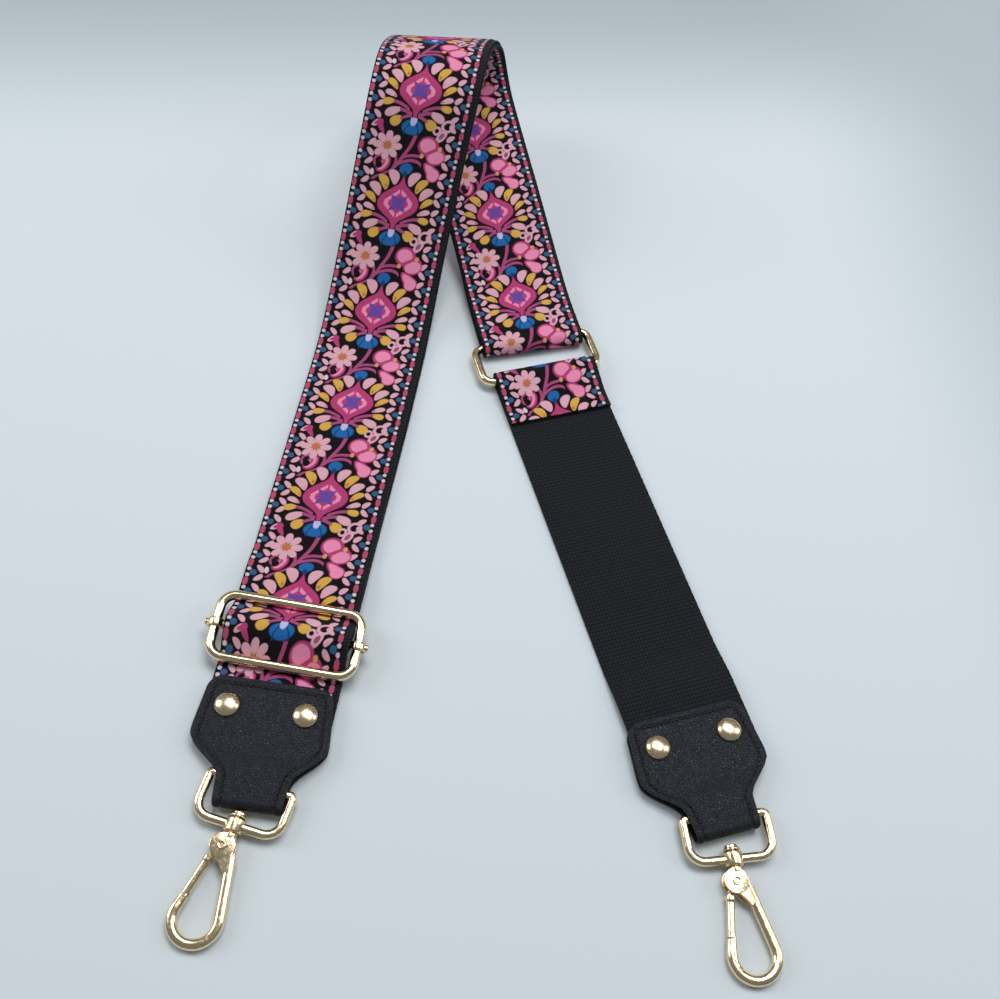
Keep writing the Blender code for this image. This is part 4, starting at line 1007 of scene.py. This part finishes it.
def pebbled_leather(name):
    """Fine pebble grain: rounded cells with creases between them, smoother at the fold. The creases and
    the furrow under the seam are darkened by painted shade.
    """
    shade = Shade(name, Specular_IOR_Level=0.30)
    where = shade.here()
    ruffle = shade.noise(where, 900.0, 2.0, output=1)
    warped = shade.node("ShaderNodeVectorMath", {"operation": "MULTIPLY_ADD"},
                        {0: ruffle, 1: (0.0007, 0.0007, 0.0007), 2: where})
    cells = shade.node("ShaderNodeTexVoronoi", {"feature": "DISTANCE_TO_EDGE"},
                       {"Vector": warped, "Scale": 1050.0})
    pebbles = shade.step(cells, 0.0, 0.34)
    folds = shade.noise(where, 260.0, 3.0)
    _, run = shade.parts(shade.uv())
    fold_band = shade.step((run - 0.0500).math("ABSOLUTE"), 0.0085, 0.0062)
    rim = shade.node("ShaderNodeAttribute", {"attribute_name": "edge"}, {}, 2)
    # painted shade: the creases between the pebbles are coloured near black
    colour = shade.mix(pebbles, srgb(8, 10, 15), srgb(37, 43, 57))
    colour = shade.mix(folds * 0.30, colour, srgb(27, 31, 42))
    colour = shade.mix(fold_band * 0.55, colour, srgb(22, 24, 29))
    # painted shade: a dark band in the furrow under the seam's stitches
    seam_furrow_shade = shade.step(rim, 0.0034, 0.0026) * shade.step(rim, 0.0024, 0.0029)
    colour = shade.mix(seam_furrow_shade * 0.6, colour, srgb(10, 11, 13))
    colour = shade.mix(shade.step(rim, 0.0004, 0.0), colour, srgb(40, 38, 42))
    shade.feed(Base_Color=colour,
               Roughness=shade.step(pebbles + folds * 0.4, 0.0, 1.3, 0.56, 0.38))
    shade.bump(pebbles * (1.0 - fold_band * 0.6) + folds * 0.5, 0.00022, 1.0)
    return shade.material


def thread_shade(name):
    """Twisted black thread."""
    shade = Shade(name, Roughness=0.55, Specular_IOR_Level=0.4)
    wave = shade.node("ShaderNodeTexWave", {"bands_direction": "DIAGONAL"},
                      {"Vector": shade.here(), "Scale": 900.0, "Distortion": 0.5})
    shade.feed(Base_Color=shade.mix(wave, srgb(6, 7, 9), srgb(17, 18, 21)))
    shade.bump(wave, 0.00008)
    return shade.material


LEATHER_SHADE = pebbled_leather("pebbled_black_leather")
THREAD_SHADE = thread_shade("black_thread")
INSETS = np.array([0.0, 0.00012, 0.0004, 0.0008, 0.0013, 0.0018, 0.0022, 0.00255, 0.0028, 0.0030,
                   0.0032, 0.00345, 0.0038, 0.0044])


def tab_relief(inset):
    """Height of the leather's face by its distance from the edge: rounded off at the edge, a
    padded rim, a furrow under the seam, and level within."""
    edge = -0.00035 * np.clip(1.0 - inset / 0.0009, 0.0, 1.0) ** 2
    furrow = -0.00034 * np.exp(-((inset - SEAM_INSET) / 0.00055) ** 2)
    rim = 0.00010 * np.exp(-((inset - 0.0016) / 0.0008) ** 2)
    return edge + furrow + rim


def leather_tab(side, matrix, body, neck_shift):
    """The folded strip: its section is two faces whose points stand at set distances from the
    edges, carried along the path of the back panel, the fold and the front panel."""
    corner_rows = np.linspace(0.0, 0.0066, 34)
    rows = np.unique(np.concatenate([tab_run, tab_run[0] + corner_rows, tab_run[-1] - corner_rows]))
    along, height, out_y, out_z = [np.interp(rows, tab_run, tab_course[:, k]) for k in range(4)]
    half = tab_half_width(along)
    middle = np.linspace(-1.0, 1.0, 23)[None, :] * (half[:, None] - INSETS[-1] - 0.0006)
    left = -half[:, None] + INSETS[None, :]
    across = np.concatenate([left, middle, -left[:, ::-1]], axis=1)
    inset = np.minimum(half[:, None] - np.abs(across), np.minimum(rows, rows[-1] - rows)[:, None])
    rise = tab_relief(np.maximum(inset, 0.0))
    outer = np.stack([across, -(along[:, None] - out_y[:, None] * rise),
                      height[:, None] - out_z[:, None] * rise], -1)
    depth = LEATHER + np.minimum(0.0, rise * 0.8)
    inner = np.stack([across, -(along[:, None] + out_y[:, None] * depth),
                      height[:, None] + out_z[:, None] * depth], -1)
    grid = np.concatenate([outer, inner[:, ::-1]], axis=1)
    uv = np.stack([np.concatenate([across, across[:, ::-1]], 1),
                   np.broadcast_to(rows[:, None], (len(rows), grid.shape[1]))], -1)
    grid[:, :, 0] += neck_shift * neck_share(along)[:, None]
    rim = np.concatenate([inset, inset[:, ::-1]], axis=1)
    piece = surface(side + "_tab_leather", [placed(grid, matrix)], [uv], 50.0, [rim])
    piece.data.materials.append(LEATHER_SHADE)
    set_down(piece, (body,), side + "_tab")


def seam_line():
    """Points and directions of the seam on the front panel: the outline moved inward by its normal,
    from the fold up one side, across the top and down the other side, at an even pitch."""
    y = np.concatenate([np.linspace(TAB_LENGTH - 0.0015, 0.0066, 200),
                        TAB_CORNER - TAB_CORNER * np.linspace(0.0, 1.0, 60) ** 2])
    x = tab_half_width(y)
    side = np.stack([x, y], -1)
    top = np.stack([np.linspace(x[-1], -x[-1], 120)[1:-1], np.zeros(118)], -1)
    outline = np.concatenate([side, top, side[::-1] * (-1.0, 1.0)])
    way = np.gradient(outline, axis=0)
    way /= np.linalg.norm(way, axis=1, keepdims=True)
    inner = outline + SEAM_INSET * np.stack([way[:, 1], -way[:, 0]], -1)
    length = np.concatenate([[0.0], np.cumsum(np.hypot(*np.diff(inner, axis=0).T))])
    at = np.arange(STITCH_PITCH / 2.0, length[-1], STITCH_PITCH)
    place = np.stack([np.interp(at, length, inner[:, k]) for k in (0, 1)], -1)
    ahead = np.stack([np.interp(at + 0.0003, length, inner[:, k]) for k in (0, 1)], -1) - place
    return place, ahead / np.linalg.norm(ahead, axis=1, keepdims=True)


def stitches(side, matrix, body, neck_shift):
    """Each stitch is a short bowed thread, a little askew to the seam, sunk at both its ends."""
    place, ahead = seam_line()
    front = tab_run > tab_run[int(np.argmax(tab_course[:, 0]))]
    order = np.argsort(tab_course[front, 0])
    top = np.interp(place[:, 1], tab_course[front, 0][order], tab_course[front, 1][order])
    share = np.linspace(-1.0, 1.0, 7)
    turn = np.linspace(0.0, 2.0 * math.pi, 6, endpoint=False)
    askew = math.radians(9.0)
    grids = []
    lean = neck_shift * neck_share(place[:, 1])
    for (x, y), (dx, dy), z in zip(place + lean[:, None] * (1.0, 0.0), ahead, top):
        way = np.array([dx * math.cos(askew) - dy * math.sin(askew),
                        dx * math.sin(askew) + dy * math.cos(askew)])
        flank = np.array([-way[1], way[0]])
        centre = np.array([x, y]) + way * share[:, None] * STITCH_HALF
        rise = z - 0.00010 - 0.00030 * share ** 4
        radius = THREAD_RADIUS * np.sqrt(1.02 - share ** 2)
        ring_x = centre[:, None, 0] + radius[:, None] * np.cos(turn) * flank[0]
        ring_y = centre[:, None, 1] + radius[:, None] * np.cos(turn) * flank[1]
        grids.append(np.stack([ring_x, -ring_y, rise[:, None] + radius[:, None] * np.sin(turn)], -1))
    piece = surface(side + "_tab_stitching", [placed(grid, matrix) for grid in grids])
    piece.data.materials.append(THREAD_SHADE)
    set_down(piece, (body,), None)


LEFT_TAB = stand(STRAP_FRAME @ Vector((0.0, TAB_TOP_STATION, 0.0)), 0.8)
RIGHT_TAB = stand(SHORT_FRAME @ Vector((0.0, -SHORT_LENGTH, 0.0)), 23.5)
TABS = (("left", LEFT_TAB, "long_strap", 0.0015), ("right", RIGHT_TAB, "short_strap", 0.0))
for side, matrix, body, neck_shift in TABS:
    leather_tab(side, matrix, body, neck_shift)
    stitches(side, matrix, body, neck_shift)


# The rivets: pressed gold domes on posts that go through leather and strap, each closed by a flat
# cap at the back.
RIVET_ASIDE, RIVET_DOWN = 0.01515, 0.0120
DOME_SEAT = FRONT_TOP + 0.0003
DOME_RADIUS, DOME_RISE = 0.0050, 0.0024
POST_RADIUS = 0.0014
CAP_RADIUS, CAP_THICKNESS = 0.0045, 0.0008
dome = [(DOME_RADIUS * math.cos(a), DOME_SEAT + DOME_RISE * math.sin(a))
        for a in np.linspace(math.pi / 2.0, 0.0, 14)]
dome += [(DOME_RADIUS - 0.0001, DOME_SEAT - 0.0002), (POST_RADIUS, DOME_SEAT - 0.0003),
         (POST_RADIUS, BACK_BOTTOM), (0.0, BACK_BOTTOM)]
cap = rounded_profile([(0.0, CAP_THICKNESS), (CAP_RADIUS, CAP_THICKNESS), (CAP_RADIUS, 0.0),
                       (0.0, 0.0)], 0.0003)
for side, matrix, body, _ in TABS:
    for letter, across in (("a", -RIVET_ASIDE), ("b", RIVET_ASIDE)):
        spot = (across, -RIVET_DOWN, 0.0)
        metal(side + "_rivet_dome_" + letter, [lathe(dome, "Z", spot, 56)], matrix, body,
              side + "_rivet_" + letter, DOME_GOLD)
        metal(side + "_rivet_cap_" + letter, [lathe(cap, "Z", spot, 40)], matrix, body,
              side + "_rivet_" + letter + "_back")


# The bails, swivels and hooks: cast and plated. The bail hangs in the tab's fold, a barrel on its
# lower bar holds the swivel's stud, and the hook below is closed by a sprung gate on a pin.
BAIL_WIRE = 0.00175
BAIL_WIDTH, BAIL_HEIGHT = 0.0326, 0.0160
BOSS_RADIUS, BOSS_HALF = 0.0036, 0.0026
HOOK_DROP = 0.0443
HOOK_ROD = 0.0020
LOOP_RADIUS = 0.0083
PIN = (-0.0011, -BAIL_HEIGHT - 0.0080)
GATE_ROOT = (-0.0043, -BAIL_HEIGHT - 0.0130)
LOOP_CENTRE = (0.0, -BAIL_HEIGHT - HOOK_DROP + HOOK_ROD + LOOP_RADIUS)
NOSE_DROP = 0.0275
SPINE_ASIDE = 0.0034
NECK_RADIUS, NECK_END = 0.0026, PIN[1] + 0.0030
SHANK_RADIUS, FLANGE_RADIUS, STUD_HEAD_RADIUS = 0.0014, 0.0034, 0.0027
PLATE_RADIUS, PLATE_HALF, PLATE_RISE = 0.0047, 0.00045, 0.00185
GATE_ROD, GATE_EYE_RADIUS = 0.0015, 0.0027
BAIL_BEHIND_FOLD = 0.0024


def hook_place(matrix, above_fold, heading_deg):
    """The bail's frame: it hangs from the tab's fold, and tips so that the hook lies on the table."""
    fold = matrix @ Vector((0.0, -(TAB_LENGTH - BAIL_BEHIND_FOLD), 0.0))
    back = above_fold - BAIL_BEHIND_FOLD
    heading = math.radians(heading_deg)
    pivot = (fold.x - back * math.sin(heading), fold.y + back * math.cos(heading), POCKET_HEIGHT)
    drop = POCKET_HEIGHT - HOOK_ROD - 0.0002
    return stand(pivot, heading_deg, math.asin(drop / (BAIL_HEIGHT + HOOK_DROP - HOOK_ROD)))


def along_line(start, end, count):
    """Evenly spaced points of a line in the local XY plane."""
    share = np.linspace(0.0, 1.0, count)[:, None]
    flat = np.array(start) * (1.0 - share) + np.array(end) * share
    return np.concatenate([flat, np.zeros((count, 1))], axis=1)


def hook_path():
    """Down the spine, round the loop and up to the nose, pulled taut round the loop's circle. Also
    the way up the gate's leg, and the nose's place."""
    course, run = taut_course(((SPINE_ASIDE, PIN[1] - 0.0030, 0.0), (*LOOP_CENTRE, -LOOP_RADIUS),
                               (*GATE_ROOT, 0.0)), spacing=0.0006)
    leg = course[-1, :2] - course[-2, :2]
    nose = int(np.argmax((run > run[-1] * 0.5) & (course[:, 1] > -BAIL_HEIGHT - NOSE_DROP)))
    path = course[:nose, :2]
    rod = np.concatenate([path, np.zeros((len(path), 1))], axis=1)
    return rod, leg / np.linalg.norm(leg), course[nose - 1, :2]


def hook_set(side, matrix, above_fold, heading_deg):
    place = hook_place(matrix, above_fold, heading_deg)
    path = rounded_box_path(BAIL_WIDTH, BAIL_HEIGHT, (0.0012, 0.0012, 0.0060, 0.0060))
    path[:, 1] -= BAIL_HEIGHT / 2.0
    loop = tube(path, BAIL_WIRE, 20, 2.5, closed=True)
    boss = rounded_profile([(0.0, BOSS_HALF), (BOSS_RADIUS, BOSS_HALF), (BOSS_RADIUS, -BOSS_HALF),
                            (0.0, -BOSS_HALF)], 0.0006)
    metal(side + "_bail_wire", [loop, lathe(boss, "Y", (0.0, -BAIL_HEIGHT, 0.0), 48)], place,
          side + "_bail", side + "_bail", CAST_GOLD)

    top = -BAIL_HEIGHT + BOSS_HALF + 0.0003
    bottom = -BAIL_HEIGHT - BOSS_HALF - 0.0003
    head, flange = top + 0.0021, top + 0.0009
    stud = rounded_profile([(0.0, head), (STUD_HEAD_RADIUS, head), (STUD_HEAD_RADIUS, flange),
                            (FLANGE_RADIUS, flange), (FLANGE_RADIUS, top), (SHANK_RADIUS, top)], 0.0004)
    stud += [np.array((SHANK_RADIUS, bottom - 0.0017)), np.array((0.0, bottom - 0.0017))]
    metal(side + "_swivel_rivet", [lathe(stud, "Y", (0.0, 0.0, 0.0), 40)], place, side + "_hook",
          side + "_swivel_stud")

    rod, leg, nose = hook_path()
    radius = np.full(len(rod), HOOK_ROD)
    taper = np.linspace(0.0, 1.0, len(rod))
    radius *= 1.0 - 0.12 * smooth_share(taper, 0.90, 1.0)
    neck = rounded_profile([(0.0, bottom), (NECK_RADIUS, bottom), (NECK_RADIUS, NECK_END),
                            (0.0, NECK_END)], 0.0004)
    plates = [lathe(rounded_profile([(0.0, z + PLATE_HALF), (PLATE_RADIUS, z + PLATE_HALF),
                                     (PLATE_RADIUS, z - PLATE_HALF), (0.0, z - PLATE_HALF)], 0.0003),
                    "Z", (*PIN, 0.0), 56) for z in (PLATE_RISE, -PLATE_RISE)]
    cheek = tube(along_line((PIN[0] + 0.0006, PIN[1]), (0.0037, PIN[1] - 0.0085), 14),
                 np.linspace(0.0041, 0.0013, 14), 28, 4.0, flatten=0.12)
    plates += [cheek + (0.0, 0.0, z) for z in (PLATE_RISE, -PLATE_RISE)]
    back = lathe(rounded_profile([(0.0, 0.0014), (0.0016, 0.0014), (0.0016, -0.0014), (0.0, -0.0014)],
                                 0.0002), "Z", (PIN[0] + 0.0030, PIN[1] + 0.0012, 0.0), 24)
    metal(side + "_hook_rod",
          [tube(rod, radius, 24, 2.5), lathe(neck, "Y", (0.0, 0.0, 0.0), 40), back] + plates,
          place, side + "_hook", side + "_hook", CAST_GOLD)

    root = np.array(GATE_ROOT)
    end = nose + leg * (HOOK_ROD * 0.2 + GAP)
    gate_rod = along_line(root, end, 40)
    collar = 1.0 - smooth_share(np.linspace(0.0, 1.0, 40), 0.10, 0.13)
    gate_radius = GATE_ROD + 0.0003 * collar
    inward = np.array([leg[1], -leg[0]]) * 0.0010
    tongue = along_line(nose + inward + leg * 0.0015, nose + inward - leg * 0.0048, 8)
    eye = lathe(rounded_profile([(0.0, 0.0002), (GATE_EYE_RADIUS, 0.0002), (GATE_EYE_RADIUS, -0.0011),
                                 (0.0, -0.0011)], 0.0002), "Z", (*PIN, 0.0), 40)
    arm = along_line(np.array(PIN) * 0.35 + root * 0.65, root, 6) - (0.0, 0.0, 0.00045)
    metal(side + "_gate_bar", [tube(gate_rod, gate_radius, 20, 2.3), tube(tongue, 0.0009, 14), eye,
                               tube(arm, 0.0012, 14, 3.0, flatten=0.55)],
          place, side + "_gate", side + "_gate", CAST_GOLD)

    crown = PLATE_RISE + PLATE_HALF + GAP
    head = [(0.0, crown - 0.00010), (0.0006, crown - 0.00010), (0.0009, crown + 0.00030),
            (0.0013, crown + 0.00042), (0.0016, crown + 0.00030), (0.0017, crown),
            (0.0010, crown - 0.0002)]
    pin = [np.array(p) for p in head] + [np.array((r, -z)) for r, z in head[::-1]]
    metal(side + "_gate_rivet", [lathe(pin, "Z", (*PIN, 0.0), 32)], place, side + "_hook",
          side + "_gate_pin")


hook_set("left", LEFT_TAB, 0.0102, -8.6)
hook_set("right", RIGHT_TAB, 0.0075, 14.8)


def spring_steel(name):
    """Drawn wire: fine rings round the coil."""
    shade = Shade(name, Metallic=1.0, Roughness=0.32)
    rings = shade.node("ShaderNodeTexWave", {"bands_direction": "Z"},
                       {"Vector": shade.here(), "Scale": 1500.0})
    shade.feed(Base_Color=shade.mix(rings, srgb(120, 116, 110), srgb(176, 172, 164)))
    shade.bump(rings, 0.00005)
    return shade.material


STEEL = spring_steel("spring_steel")
for side in ("left", "right"):
    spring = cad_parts[side + "_gate_spring"]
    spring.data.materials.clear()
    spring.data.materials.append(STEEL)


# The table is a pale plain sheet, with painted shade darkening it far off and off to one side. Soft
# boxes stand overhead and at both sides, as in a light tent, and the photograph is taken from low on
# the near side.
def pale_sheet(name):
    shade = Shade(name, Roughness=0.85, Specular_IOR_Level=0.1)
    where = shade.mapped(shade.here(), turn=math.radians(12.8))
    aside, far = shade.parts(where)
    haze = shade.noise(where, 2.2, 2.0)
    colour = shade.mix(haze * 0.15, srgb(208, 217, 223), srgb(198, 206, 212))
    # painted shade: the sheet grows darker toward its far side, and below toward one side across
    colour = shade.mix(shade.step(far, 0.195, 0.365), colour, srgb(166, 178, 183))
    shade.feed(Base_Color=shade.mix(shade.step(aside, 0.170, 0.330), colour, srgb(176, 188, 194)))
    return shade.material


TABLE_HALF = 3.0
sheet = bpy.data.meshes.new("table_sheet")
corners = ((-1, -1), (1, -1), (1, 1), (-1, 1))
sheet.from_pydata([(x * TABLE_HALF, y * TABLE_HALF, 0.0) for x, y in corners], [], [(0, 1, 2, 3)])
sheet.materials.append(pale_sheet("pale_table"))
linked("table_sheet", sheet)


def soft_box(name, place, toward, size, power, colour=(1.0, 1.0, 1.0)):
    lamp = bpy.data.lights.new(name, "AREA")
    lamp.shape, lamp.size, lamp.size_y, lamp.energy, lamp.color = "RECTANGLE", *size, power, colour
    made = linked(name, lamp)
    made.location = place
    made.rotation_mode = "QUATERNION"
    made.rotation_quaternion = (Vector(toward) - Vector(place)).to_track_quat("-Z", "Y")


soft_box("overhead", (0.10, 0.35, 1.30), (0.0, 0.05, 0.0), (1.0, 0.6), 13.0)
soft_box("left_side", (-1.10, 0.10, 0.75), (0.0, 0.0, 0.0), (0.5, 0.8), 5.2, (0.98, 0.99, 1.0))
soft_box("right_side", (1.10, 0.20, 0.80), (0.0, 0.0, 0.0), (0.4, 0.8), 3.2)

world = bpy.data.worlds.new("tent")
world.use_nodes = True
tent = world.node_tree.nodes["Background"].inputs
tent["Color"].default_value = (0.94, 0.96, 0.98, 1.0)
tent["Strength"].default_value = 0.20
bpy.context.scene.world = world

PITCH, ROLL = math.radians(57.012), math.radians(9.137)
FOCAL_PIXELS, FRAME_PIXELS = 1108.0, 1000.0
CAMERA_PLACE = (-0.00920, -0.29039, 0.4147)
ahead = Vector((0.0, math.cos(PITCH), -math.sin(PITCH)))
level = Vector((1.0, 0.0, 0.0))
above = level.cross(ahead)
right = level * math.cos(ROLL) + above * math.sin(ROLL)
up = above * math.cos(ROLL) - level * math.sin(ROLL)
lens = bpy.data.cameras.new("camera")
lens.sensor_width = 36.0
lens.lens = lens.sensor_width * FOCAL_PIXELS / FRAME_PIXELS
lens.clip_start, lens.clip_end = 0.01, 10.0
camera = linked("camera", lens)
camera.matrix_world = (Matrix.Translation(CAMERA_PLACE)
                       @ Matrix((right, up, -ahead)).transposed().to_4x4())
bpy.context.scene.camera = camera
bpy.context.scene.view_settings.view_transform = "Standard"
